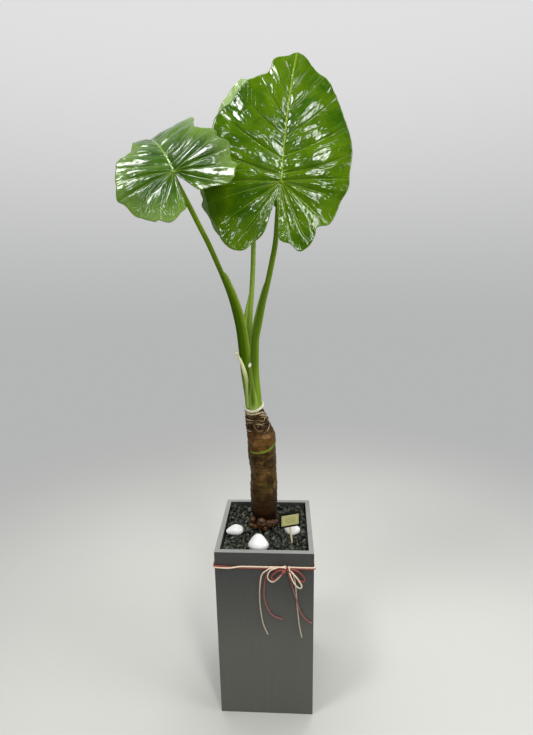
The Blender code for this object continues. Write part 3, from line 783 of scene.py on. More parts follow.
tag = {
    "centre": (0.0525, -0.0537, 0.4450),
    "turn": 17.5,
    "board": (0.0465, 0.0015, 0.0335),
    "label": (0.037, 0.0004, 0.0235),
    "stick": (0.0042, 0.0016, 0.140),
    "gap": 0.0003,
    "edge": (0.0006, 3),      # size of the round edges, and the steps in them
    "labelEdge": (0.0001, 1),
    "stickSide": 0.0585,
    "stickLean": -5,
    "lineStep": 3.6,      # ruled lines on the label, in millimetres
    "frameInset": 1.6,      # border's distance from the label's edge, in millimetres
    "ruled": (11.0, 7.4),      # half width and half height of the ruled part, in millimetres
    "borderFade": (0.012, 0.030, 0.75, 0.0),
    "lineFade": (0.10, 0.16, 0.8, 0.0),
    "boardSkin": {
        "name": "blackBoard", "rough": 0.55, "fixed": {"Specular IOR Level": 0.15},
        "noises": {"wear": (None, 600.0)}, "base": (0.003, 0.003, 0.003),
        "coats": (("wear", (0.010, 0.010, 0.010)),), "relief": ("wear", 0.0002, 0.4),
    },
    "labelSkin": {
        "name": "ruledLabel", "rough": 0.55, "noises": {"fibres": (None, 900.0)},
        "base": (0.52, 0.50, 0.21),
        "coats": (("fibres", (0.45, 0.43, 0.16)), ("ink", (0.10, 0.11, 0.03))),
        "relief": ("fibres", 0.0001, 0.3),
    },
    "stickSkin": {
        "name": "creamStick", "rough": 0.55, "noises": {"strands": ((900.0, 900.0, 30.0), 1.0)},
        "base": (0.84, 0.74, 0.47), "coats": (("strands", (0.60, 0.47, 0.25)),),
        "relief": ("strands", 0.0002, 0.6),
    },
}


def roundedPlate(name, size, edge, pose, material):
    plate = boxShape(size)
    bmesh.ops.bevel(plate, geom=plate.edges, offset=edge[0], segments=edge[1], profile=0.5, affect="EDGES")
    mesh = shapeMesh(name, plate)
    mesh.shade_smooth()
    mesh.set_sharp_from_angle(angle=math.radians(40))
    item = showObject(name, mesh, material)
    item.matrix_world = pose
    return item


def labelInk(tree, sources):
    # a thin printed border and ruled lines
    place = axesOf(tree, objectPlace(tree))
    x = calc(tree, "ABSOLUTE", times(tree, place[0], 1 / mm))
    z = times(tree, place[2], 1 / mm)
    high = calc(tree, "ABSOLUTE", z)
    edges = [calc(tree, "DIVIDE", way, tag["label"][axis] / mm / 2 - tag["frameInset"])
             for way, axis in ((x, 0), (high, 2))]
    border = fadeOff(tree, awayFrom(tree, calc(tree, "MAXIMUM", *edges), 1.0), *tag["borderFade"])
    lines = calc(tree, "FRACT", calc(tree, "DIVIDE", z, tag["lineStep"]))
    lines = fadeOff(tree, awayFrom(tree, lines, 0.5), *tag["lineFade"])
    wide, tall = tag["ruled"]
    inside = times(tree, fadeOff(tree, x, wide, wide + 0.6), fadeOff(tree, high, tall, tall + 0.4))
    sources["ink"] = calc(tree, "MAXIMUM", border, times(tree, lines, inside))


def makeTag():
    pose = Matrix.Translation(tag["centre"]) @ Matrix.Rotation(math.radians(tag["turn"]), 4, "Z")
    ahead = (tag["board"][1] + tag["label"][1]) / 2 + tag["gap"]
    behind = (tag["board"][1] + tag["stick"][1]) / 2 + tag["gap"]
    foot = Matrix.Translation((tag["stickSide"] - tag["centre"][0], behind, -tag["stick"][2] / 2))
    lean = Matrix.Rotation(math.radians(tag["stickLean"]), 4, "Y")
    board = roundedPlate("tagBoard", tag["board"], tag["edge"], pose, makeSkin(tag["boardSkin"]))
    label = roundedPlate("tagLabel", tag["label"], tag["labelEdge"],
                         pose @ Matrix.Translation((0.0, -ahead, 0.0)), makeSkin(tag["labelSkin"], labelInk))
    stick = roundedPlate("tagStick", tag["stick"], tag["edge"], pose @ foot @ lean,
                         makeSkin(tag["stickSkin"]))
    for piece, node in ((board, "tag_board"), (label, "tag_label"), (stick, "tag_stick")):
        settle(piece, node, node)


makeTag()
print("tag made")


# trunk

trunk = {
    "depth": 0.022,
    "stations": ((330, -5, 46), (372, -5, 50), (400, -4, 51), (416, -4, 53), (424, -5, 58), (470, -5, 59),
                 (516, -5, 57), (549, -7, 60), (590, -8, 62), (603, -9, 62), (616, -12, 57), (641, -18, 48),
                 (657, -22, 41), (667, -23, 36)),
    "rings": 440,
    "sides": 150,
    "scars": (402, 413, 424, 441, 456, 472, 487, 503, 519, 534, 549, 566, 584, 600, 613, 622, 630, 637, 644,
              650, 655, 660, 665),
    "scarDepth": 0.0019,
    "roughFrom": 0.612,      # above this the old leaf bases are still torn and dark
    "greenScar": {"height": 571, "thick": 2.9, "from": -2.10, "to": -0.1, "climb": 20, "lift": 0.0008},
    "eye": {"angle": -1.50, "height": 630, "size": 12.5, "ringCount": 1.6, "ringLift": 0.0014},
    # angle, height, half width and half height in millimetres, strength
    # tan patches of the bark, partly painted highlight
    "tanSpotsAndHighlights": ((-1.09, 524, 2.6, 3.0, 1.0), (-0.90, 478, 3.6, 7.5, 0.5), (-0.62, 489, 3.0, 5.0, 0.8),
                 (-1.28, 607, 4.0, 5.0, 0.7), (-0.98, 608, 5.0, 4.0, 0.7), (-1.95, 590, 7.0, 5.0, 0.5)),
    "redSpots": ((-2.31, 479, 5.0, 10.0, 0.9), (-2.0, 462, 4.0, 7.0, 0.7), (-1.15, 508, 3.5, 8.0, 0.7),
                 (-1.85, 612, 6.0, 5.0, 0.8), (-1.10, 614, 5.0, 4.0, 0.8), (-0.75, 465, 4.0, 6.0, 0.6)),
    "mossSpots": ((-2.70, 490, 4.0, 7.0, 0.9), (-1.65, 470, 7.0, 7.0, 0.5), (-1.35, 495, 6.0, 12.0, 0.4)),
    "cormlets": ((-33, -2, 396, 6.4), (-29, 5, 405, 7.4), (-11, -6, 405, 10.4), (5, -5, 402, 8.4),
                 (-23, -7, 397, 5.6), (14, 0, 401, 7.6), (20, 8, 399, 6.0), (-2, -11, 395, 5.4),
                 (-27, 14, 400, 6.6), (-16, 46, 398, 6.0), (8, 47, 397, 5.0)),
    "cormletRings": 40,
    "cormletSides": 36,
    "rootlets": 16,
    "rootletRings": 22,
    "rootletSides": 10,
    "rootletRadii": (0.0014, 0.0007),
    "footRadius": 0.0245,
    # unevenness: size in metres, waves round the trunk, height of a wave, seed
    "warps": ((0.0018, 18, 0.022, 5), (0.0005, 60, 0.006, 6)),
    "lumps": ((0.0009, 12, 0.018, 7), (0.00030, 90, 0.012, 8), (0.00025, 200, 0.003, 9)),
    "tornLumps": ((0.0009, 40, 0.004, 10),),
    "crackDepth": 0.0005,
    "tornCrackDepth": 0.0010,
    "warmZone": (0.560, 0.592, 0.604, 0.628),      # heights between which the bark is redder
    "skin": {
        "name": "ringedBark", "rough": 0.5, "fixed": {"Specular IOR Level": 0.07},
        "noises": {"rings": ((22.0, 22.0, 200.0), 1.0, 4.0), "strands": ((420.0, 420.0, 60.0), 1.0, 4.0),
                   "blotch": (None, 30.0, 4.0, 0.6, 0.8), "patches": ((46.0, 46.0, 30.0), 1.0, 3.0, 0.5, 1.2),
                   "flecks": (None, 95.0, 3.0, 0.6), "clots": (None, 75.0, 4.0, 0.6, 0.5)},
        "sums": {"mix": (("rings", 0.35), ("clots", 0.65)),
                 "uneven": (("strands", 0.6), ("mix", 1.0), ("rings", 0.5))},
        "base": (0.015, 0.0075, 0.002),
        "coats": (("mix", 0.36, 0.64, 0.0, 1.0, (0.106, 0.060, 0.020)),
                  ("strands", 0.35, (0.055, 0.033, 0.011)),
                  ("warm", 0.62, (0.150, 0.064, 0.018)),
                  ("blotch", 0.52, 0.66, 0.0, 0.6, (0.150, 0.086, 0.021)),
                  ("patches", 0.54, 0.66, 0.0, 0.4, (0.172, 0.080, 0.023)),
                  ("blotch", 0.34, 0.46, 0.40, 0.0, (0.030, 0.019, 0.009)),
                  ("torn", 0.80, (0.036, 0.016, 0.003)),
                  ("mossSpots", (0.075, 0.070, 0.016)),
                  ("redSpots", (0.038, 0.012, 0.005)),
                  # tan patches, partly painted highlight
                  ("tanSpotsAndHighlights", (0.250, 0.140, 0.048)),
                  ("height", 0.440, 0.500, 0.85, 0.0, (0.028, 0.013, 0.005)),
                  # near black just above the cormlets: painted shadow at the trunk's foot
                  ("height", 0.416, 0.440, 0.95, 0.0, (0.009, 0.004, 0.002)),
                  ("crack", 0.85, (0.009, 0.005, 0.003)),
                  ("papery", (0.62, 0.46, 0.24)),
                  ("freshScar", (0.150, 0.215, 0.022))),
        "roughBy": ("strands", 0.4, 0.24),
        "relief": ("uneven", 0.0011, 0.7),
    },
    "cormletSkin": {
        "name": "cormletSkin", "rough": 0.42, "fixed": {"Specular IOR Level": 0.4},
        "noises": {"bands": ((60.0, 60.0, 420.0), 1.0), "spots": (None, 150.0)},
        "base": (0.014, 0.006, 0.002),
        "coats": (("bands", 0.35, 0.65, 0.0, 1.0, (0.105, 0.045, 0.013)),
                  ("spots", 0.58, 0.72, 0.0, 0.6, (0.34, 0.17, 0.06))),
        "relief": ("bands", 0.0006, 0.8),
    },
}


def trunkCentre(height):
    stations = np.array(trunk["stations"], float) * mm
    return np.interp(height, stations[:, 0], stations[:, 1])


def trunkRadius(height):
    stations = np.array(trunk["stations"], float) * mm
    return np.interp(height, stations[:, 0], stations[:, 2]) / 2


def barkWaves(kind, around, height):
    return sum(size * softNoise(around * count, height / tall, seed)
               for size, count, tall, seed in trunk[kind])


def trunkRelief(height, angle):
    # relief in metres, and where the surface is in a crack, papery, freshly green or torn and dark
    around = angle / (2 * math.pi)
    tilt = 0.0030 * np.cos(angle - 2.2) + 0.0015 * np.cos(2 * angle + 1.0)
    warp = barkWaves("warps", around, height)
    level = height + tilt + warp
    scars = np.array(trunk["scars"], float) * mm
    index = np.clip(np.searchsorted(scars, level) - 1, 0, len(scars) - 2)
    pitch = scars[index + 1] - scars[index]
    phase = ramp(level, pitch, scars[index])
    torn = ramp(height, 0.014, trunk["roughFrom"])
    broken = np.clip(0.60 + 0.9 * softNoise(around * 20 + 3.7 * index, level * 0, 12), 0.0, 1.0)
    push = trunk["scarDepth"] * (0.6 + 0.5 * torn) * (0.5 - phase)
    crack = bell(np.minimum(phase, 1 - phase) * pitch, 0.0008 + 0.0004 * torn)
    crack = crack * np.maximum(broken * 0.8, torn)
    push = push - (trunk["crackDepth"] + trunk["tornCrackDepth"] * torn) * crack
    push = push + barkWaves("lumps", around, height) + torn * barkWaves("tornLumps", around, height)

    # an eye-shaped bud scar with rings round it
    eye = trunk["eye"]
    above = height / mm - eye["height"]
    spread = np.hypot((angle - eye["angle"]) * 24.0, above * 0.8) / eye["size"]
    spread = spread * (1 + 0.20 * softNoise(around * 30, height / 0.008, 13))
    rings = np.cos(2 * math.pi * spread * eye["ringCount"]) * np.exp(-spread ** 2 * 1.1)
    push = push * (1 - 0.8 * np.exp(-spread ** 4)) + eye["ringLift"] * rings
    arcs = np.clip(3.2 * softNoise(around * 11 + 5.3 * index, level * 0, 11) - 0.5, 0.0, 1.0)
    paper = bell((phase - 0.10) * pitch, 0.0010) * arcs * torn * (1 - np.exp(-spread ** 4 * 0.6))
    breaks = np.clip(0.6 + 1.0 * softNoise(around * 44, height / 0.007, 15), 0.0, 1.0)
    paper = np.maximum(paper, 0.26 * np.clip(rings, 0.0, 1.0) * breaks)
    crack = np.maximum(crack, 0.9 * np.clip(-rings * 1.6, 0.0, 1.0))
    aside = np.abs(angle - eye["angle"])
    vee = bell(above + 20 - 22 * aside - 1.5 * warp / mm, 0.9) * (aside < 0.62)
    crack = np.maximum(crack, 0.9 * vee)

    green = trunk["greenScar"]
    share = ramp(angle, green["to"] - green["from"], green["from"])
    line = green["height"] + green["climb"] * share ** 1.7 + 0.5 * softNoise(around * 30, height * 0, 14)
    inside = ramp(angle, 0.5, green["from"] - 0.45) * (angle < green["to"] + 0.35)
    band = bell(height / mm - line, green["thick"] * (0.75 + 0.5 * share), 4) * inside
    return push + green["lift"] * band, {"crack": crack, "papery": paper, "fresh": band, "torn": torn}


def trunkSpots(spots, height, angle):
    # stains at given places on the bark, with ragged edges
    total = 0 * height
    ragged = 1.0 + 0.45 * softNoise(angle * 9 + 30, height / 0.0045, 17)
    for turn, level, halfWidth, halfHeight, strength in spots:
        away = np.hypot((angle - turn) * 28.0 / halfWidth, (height / mm - level) / halfHeight)
        total = np.maximum(total, strength * np.exp(-(away * ragged) ** 4))
    return total


def barkSources(tree, sources):
    # the warm zone above the green scar, and the scar itself, duller where the bark is blotched
    height = sourceOf(tree, sources, "height")
    starts, full, fades, ends = trunk["warmZone"]
    warm = times(tree, fadeOff(tree, height, starts, full, 0.0, 1.0), fadeOff(tree, height, fades, ends))
    sources["warm"] = times(tree, warm, fadeOff(tree, sources["flecks"], 0.38, 0.60, 0.15, 1.0))
    sources["freshScar"] = times(tree, sourceOf(tree, sources, "fresh"),
                                 fadeOff(tree, sources["blotch"], 0.30, 0.45, 0.6, 0.95))


def trunkPoints(height, radius, angle):
    return np.stack([trunkCentre(height) + radius * np.cos(angle),
                     trunk["depth"] + radius * np.sin(angle), height], axis=-1)


def makeTrunk():
    heights = np.linspace(trunk["stations"][0][0] * mm, trunk["stations"][-1][0] * mm, trunk["rings"])
    angles = np.linspace(-math.pi, math.pi, trunk["sides"], endpoint=False)
    height, angle = np.meshgrid(heights, angles, indexing="ij")
    push, values = trunkRelief(height, angle)
    points = trunkPoints(height, trunkRadius(height) + push, angle)
    mesh = meshFrom("trunkBark", points.reshape(-1, 3), tubeFaces(trunk["rings"], trunk["sides"]))
    pointValues(mesh, **values)
    for key in ("tanSpotsAndHighlights", "redSpots", "mossSpots"):
        pointValues(mesh, **{key: trunkSpots(trunk[key], height, angle)})
    settle(showObject("trunkBark", mesh, makeSkin(trunk["skin"], barkSources)), "trunk", "trunk")


def makeCormlets():
    # small round corms with scaly rings, and thin roots that run down into the gravel
    random = np.random.default_rng(21)
    heap = []
    rings, sides = trunk["cormletRings"], trunk["cormletSides"]
    angles = np.linspace(0.04, math.pi - 0.04, rings)
    waves = np.sin(angles * 9)
    outline = np.sin(angles) ** 0.85
    turn = roundAngles(sides)[None, :]
    for number, (x, y, z, radius) in enumerate(trunk["cormlets"]):
        size = outline * radius * mm * (1.0 + 0.035 * np.sign(waves) * np.abs(waves) ** 0.6)
        lean = random.uniform(-0.35, 0.35, 2)
        axis = unit((lean[0], lean[1] - 0.25, 1.0))
        line = np.array((x, y, z)) * mm - np.cos(angles)[:, None] * axis * radius * mm * 1.18
        lumps = softNoise(3 + 1.6 * np.cos(turn), 3 + 1.6 * np.sin(turn) + 1.4 * np.cos(angles)[:, None],
                          number * rings * sides % 97)
        heap.append(tubeForm(line, size[:, None] * (1.0 + 0.16 * lumps), sides))
    near, rings = trunk["footRadius"], trunk["rootletRings"]
    for _ in range(trunk["rootlets"]):
        turn = random.uniform(-math.pi, math.pi)
        way = np.array((math.cos(turn), math.sin(turn), 0.0))
        foot = np.array((trunkCentre(0.40), trunk["depth"], 0.4))
        top = foot + way * near + (0.0, 0.0, random.uniform(0.001, 0.010))
        reach = random.uniform(0.006, 0.013)
        route = (top - way * 0.004, top + way * 0.003, top + way * reach * 0.7 - (0.0, 0.0, 0.006),
                 foot + way * (near + reach) - (0.0, 0.0, 0.018))
        line = smoothLine(route, rings)
        line[:, 0] += 0.0008 * np.sin(np.linspace(0, 9, rings) + turn)
        heap.append(tubeForm(line, np.linspace(*trunk["rootletRadii"], rings), trunk["rootletSides"]))
    mesh = heapMesh("cormlets", heap)
    settle(showObject("cormlets", mesh, makeSkin(trunk["cormletSkin"])), "trunk")


curls = {
    # low edge in millimetres, start and span in radians, height, lift and slope in millimetres
    "placed": ((656, -3.0, 2.3, 4.2, 1.5, 0.0), (651, -2.7, 1.3, 3.4, 1.2, 1.0),
               (648, -1.15, 1.1, 5.2, 2.4, -7.0), (640, -2.9, 1.2, 3.4, 1.6, 3.0),
               (622, -1.0, 0.8, 4.0, 1.6, 15.0), (636, -0.55, 1.3, 4.0, 2.0, -2.0),
               (616, -2.8, 0.7, 3.0, 1.2, 3.0), (652, -0.95, 0.9, 5.2, 2.4, -8.0),
               (643, -0.9, 0.7, 3.8, 1.6, 11.0)),
    "count": 15,
    "heights": (0.616, 0.662),
    "arc": (0.4, 1.2),
    "tall": (0.0024, 0.0048),
    "lift": (0.0006, 0.0022),
    "slope": (-0.006, 0.006),
    "pale": (0.1, 0.7),
    "rows": 7,
    "columns": 40,
    "thick": 0.00045,
    "topHeight": 0.6685,
    "skin": {
        "name": "paperyCurls", "rough": 0.75, "noises": {"strands": ((500.0, 500.0, 900.0), 1.0)},
        "base": (0.035, 0.016, 0.007),
        "coats": (("strands", (0.120, 0.062, 0.028)), ("tornEdge", (0.78, 0.64, 0.38))),
        "relief": ("strands", 0.0004, 0.6),
    },
}


def makeCurls():
    # torn leaf bases: short papery strips that stand off the rings near the crown
    random = np.random.default_rng(31)
    strips = [(low * mm, start, span, tall * mm, lift * mm, slope * mm, 1.0)
              for low, start, span, tall, lift, slope in curls["placed"]]
    for _ in range(curls["count"]):
        strips.append((random.uniform(*curls["heights"]), random.uniform(-math.pi, math.pi),
                       *(random.uniform(*curls[key]) for key in ("arc", "tall", "lift", "slope", "pale"))))
    share = np.linspace(0.0, 1.0, curls["columns"])[None, :]
    climb = np.linspace(0.0, 1.0, curls["rows"])[:, None]
    ends = np.sin(math.pi * share) ** 0.45
    heap, edges = [], []
    for index, (low, start, span, tall, lift, slope, pale) in enumerate(strips):
        ragged = 0.7 + 0.3 * softNoise(share * 9 + index, share * 0, 77)
        angle = start + span * share + 0 * climb
        height = low + slope * (share - 0.5) + tall * climb * ragged * ends
        bow = 0.6 + 0.4 * np.sin(5 * share + index)
        radius = trunkRadius(height) + 0.0002 + lift * climb ** 1.6 * ends * bow
        front = trunkPoints(np.minimum(height, curls["topHeight"]), radius, angle)
        heap.append(sheetForm(front, curls["thick"]))
        torn = pale * ramp(climb, 0.30, 0.48) * np.sin(math.pi * share) ** 0.5
        edges += [torn.ravel(), torn.ravel()]
    mesh = heapMesh("trunkCurls", heap)
    pointValues(mesh, tornEdge=np.concatenate(edges))
    settle(showObject("trunkCurls", mesh, makeSkin(curls["skin"])), "trunk")


def unit(way):
    way = np.array(way, float)
    return way / np.linalg.norm(way)


makeTrunk()
makeCormlets()
makeCurls()
print("trunk made")


# leaves

# Places in the blade's own plane, in millimetres, with the stalk at (0, 0) and the tip up. Arch, droop
# and twist are in degrees a metre, fold in degrees. A vein is its start on the midrib, then where it ends.
leaves = {
    "bladeFront": {
        "node": "blade_front", "seat": (0.0390, -0.0250, 1.1033),
        "tipWay": (0.073, 0.196, 0.978), "faceWay": (0.029, -0.981, 0.194),
        "arch": 60, "lobeArch": -60, "fold": (6, 6), "droop": (128, 160), "twist": 0, "ribBow": 13,
        "wave": 2.8,
        "left": ((-9, -25), (-20, -46), (-19, -75), (-26, -99), (-42, -115), (-58, -129), (-82, -128),
                 (-101, -111), (-108, -92), (-125, -68), (-132, -45), (-140, -20), (-143, 15), (-139, 50),
                 (-133, 85), (-129, 109), (-118, 131), (-102, 146), (-89, 166), (-73, 184), (-56, 195),
                 (-36, 211), (-28, 233), (-2, 247), (13, 256)),
        "right": ((-8, -25), (-4, -45), (0, -76), (4, -106), (24, -113), (40, -125), (57, -115), (67, -97),
                  (70, -80), (91, -72), (102, -54), (111, -27), (123, -3), (124, 25), (126, 65), (114, 109),
                  (98, 150), (84, 174), (70, 198), (42, 225), (22, 251), (13, 256)),
        "leftVeins": ((0, -42, -115), (0, -80, -128), (0, -110, -88), (0, -132, -46), (0, -142, -8),
                      (11, -138, 60), (41, -122, 125), (81, -88, 166), (114, -52, 198),
                      (152, -32, 222), (200, -12, 242)),
        "rightVeins": ((0, 24, -113), (0, 57, -115), (0, 90, -72), (0, 112, -26), (0, 124, 14),
                       (14, 126, 62), (46, 113, 111), (81, 90, 163), (129, 66, 203),
                       (165, 40, 227), (205, 22, 250)),
        "seed": 3,
    },
    "bladeLeft": {
        "node": "blade_left", "seat": (-0.1446, -0.0650, 1.1159),
        "tipWay": (-0.410, 0.380, 0.829), "faceWay": (0.263, -0.822, 0.506),
        "arch": 330, "lobeArch": 0, "fold": (-4, 30), "droop": (170, 115), "twist": -60, "ribBow": 0,
        "wave": 1.4,
        "left": ((0, -8), (-5, -31), (-6, -60), (-3, -73), (-16, -80), (-38, -90), (-56, -78), (-64, -78),
                 (-89, -55), (-98, -29), (-108, -14), (-100, 10), (-97, 26), (-89, 45), (-82, 60),
                 (-66, 69), (-53, 78), (-43, 98), (-35, 124), (-27, 156), (-15, 188), (0, 215)),
        "right": ((0, -8), (10, -24), (19, -35), (27, -57), (50, -65), (76, -75), (90, -69), (94, -60),
                  (102, -49), (97, -35), (103, -15), (105, 1), (93, 18), (96, 38), (83, 49), (71, 60),
                  (75, 78), (85, 100), (88, 118), (84, 134), (66, 150), (48, 172), (27, 198), (0, 215)),
        "leftVeins": ((0, -18, -82), (0, -56, -78), (0, -90, -52), (0, -106, -18), (0, -99, 16),
                      (16, -88, 48), (40, -64, 71), (72, -43, 98), (108, -34, 130), (150, -22, 170)),
        "rightVeins": ((0, 28, -58), (0, 76, -75), (0, 100, -46), (0, 103, -12), (0, 94, 20),
                       (16, 82, 50), (40, 74, 76), (72, 87, 112), (108, 72, 146), (150, 38, 184)),
        "seed": 13,
    },
    "bladeBack": {
        "node": "blade_back", "seat": (-0.0118, 0.0550, 1.1085),
        "tipWay": (-0.136, 0.175, 0.975), "faceWay": (-0.148, -0.976, 0.155),
        "arch": 60, "lobeArch": -30, "fold": (4, 4), "droop": (150, 150), "twist": 0, "ribBow": 0,
        "wave": 4.0,
        "left": ((0, -20), (-8, -40), (-14, -70), (-30, -92), (-55, -100), (-80, -88), (-100, -60),
                 (-109, -32), (-121, -8), (-115, 4), (-119, 25), (-112, 62), (-94, 100), (-70, 140),
                 (-59, 172), (-39, 197), (-29, 216), (-15, 226), (0, 236)),
        "right": ((0, -20), (14, -24), (30, -30), (40, -46), (48, -66), (60, -78), (76, -70), (92, -45),
                  (102, -15), (106, 20), (104, 55), (97, 90), (84, 125), (66, 160), (45, 190), (22, 215),
                  (0, 236)),
        "leftVeins": ((0, -22, -82), (0, -62, -98), (0, -102, -54), (0, -119, -8), (0, -118, 30),
                      (20, -105, 82), (55, -76, 131), (95, -57, 175), (138, -36, 201), (185, -15, 226)),
        "rightVeins": ((0, 32, -33), (0, 60, -78), (0, 90, -49), (0, 104, -4), (0, 105, 44),
                       (20, 95, 96), (55, 74, 145), (95, 54, 178), (138, 34, 203), (185, 14, 222)),
        "seed": 23,
    },
}

leafRelief = {
    "thickness": 0.0008,
    "pucker": 0.0022,
    "columns": 50,
    "rowSteps": (0.0, 0.025, 0.07, 0.13, 0.2, 0.27, 0.34, 0.42, 0.5, 0.58, 0.66, 0.73, 0.8, 0.87, 0.93,
                 0.975),
    "crossPitch": 0.011,
    "veinSag": -0.06,      # share of a row's length
    "wrinkle": 0.00085,
    "wrinkleLong": 0.024,
    "wrinklesAcross": 5.5,      # from one main vein to the next
    "quilt": 0.00022,
    "hills": 0.00055,
    "hillWaves": ((1.0, 0.030, 2), (0.25, 0.012, 3)),      # strength, size and the seed's step
    # depth or height, then half width
    "crease": (0.0011, 0.0018),
    "ribGroove": (0.0009, 0.005),
    "ribRidge": (0.0008, 0.0016),
    "ribUnder": (0.0026, 0.0028),
    "veinUnder": (0.0013, 0.0012),
    "frill": (0.0006, 0.0032),
}


def arcAlong(travel, start, bend):
    bend = np.where(np.abs(bend) < 1e-6, 1e-6, bend)
    end = start - bend * travel
    return (np.sin(start) - np.sin(end)) / bend, (np.cos(end) - np.cos(start)) / bend


def leafAxes(leaf):
    tip = unit(leaf["tipWay"])
    face = np.array(leaf["faceWay"], float)
    return tip, unit(face - tip * face.dot(tip))


def leafPoints(leaf, x, y, lift):
    # places on the blade from places in its own plane, with the way out of it there
    tip, face = leafAxes(leaf)
    level = np.cross(tip, face)
    bend = np.radians(np.where(y > 0, leaf["arch"], leaf["lobeArch"]))
    forward, rise = arcAlong(y, 0.0, bend)
    centre = np.array(leaf["seat"]) + forward[..., None] * tip + rise[..., None] * face
    turn = (bend * y)[..., None]
    out = tip * np.sin(turn) + face * np.cos(turn)
    roll = np.radians(leaf["twist"]) * y[..., None]
    across = level * np.cos(roll) + out * np.sin(roll)
    out = out * np.cos(roll) - level * np.sin(roll)
    rib = ribLine(leaf, y)
    width = x - rib
    side = (width > 0).astype(int)
    fold = np.radians(np.array(leaf["fold"], float))[side]
    droop = np.radians(np.array(leaf["droop"], float))[side]
    reach, sink = arcAlong(np.abs(width), fold, droop)
    spot = centre + across * (rib + np.copysign(reach, width))[..., None] + out * (sink + lift)[..., None]
    return spot, out


def leafLength(leaf):
    return leaf["left"][-1][1] * mm


def ribLine(leaf, y):
    return leaf["ribBow"] * mm * (np.maximum(y, 0.0) / leafLength(leaf)) ** 2


def veinTable(leaf, side):
    # where each main vein leaves the midrib and where it meets the margin
    edge = smoothLine([(x * mm, y * mm, 0.0) for x, y in leaf[side]], 700)[:, :2]
    travel = lineTravel(edge)
    starts, ends = [0.0], [0.0]
    for start, x, y in leaf[side + "Veins"]:
        nearest = int(np.argmin(np.hypot(edge[:, 0] - x * mm, edge[:, 1] - y * mm)))
        starts.append(start * mm)
        ends.append(travel[nearest] / travel[-1])
    starts = np.array(starts + [leafLength(leaf)])
    ends = np.array(ends + [1.0])
    fan = int(np.sum(starts == 0.0)) - 1
    return {"edge": edge, "travel": travel / travel[-1], "round": travel[-1], "starts": starts,
            "ends": ends, "numbers": np.arange(len(starts), dtype=float), "fan": fan}


def sharedStarts(tables):
    # both halves use the same places on the midrib, closest together beside the veins
    marks = []
    for table in tables:
        numbers = np.concatenate([number + np.array(leafRelief["rowSteps"])
                                  for number in table["numbers"][table["fan"]:-1]])
        marks.append(np.interp(numbers, table["numbers"][table["fan"]:], table["starts"][table["fan"]:]))
    marks = np.unique(np.concatenate(marks))
    kept = [marks[0]]
    for mark in marks[1:]:
        if mark - kept[-1] > 0.25 * mm:
            kept.append(mark)
    return np.array(kept[1:] + [tables[0]["starts"][-1]])


def rowPlaces(leaf, table, numbers, share):
    # rows that run from the midrib to the margin beside the veins, sagging like them
    start = np.interp(numbers, table["numbers"], table["starts"])
    end = np.interp(numbers, table["numbers"], table["ends"])
    endX = np.interp(end, table["travel"], table["edge"][:, 0])
    endY = np.interp(end, table["travel"], table["edge"][:, 1])
    startX = ribLine(leaf, start)
    length = np.hypot(endX - startX, endY - start)
    sag = leafRelief["veinSag"] * length * ramp(start, 0.015)
    x = startX + (endX - startX) * share
    y = start + (endY - start) * share + sag * 4 * share * (1 - share)
    return x, y, length * share, end


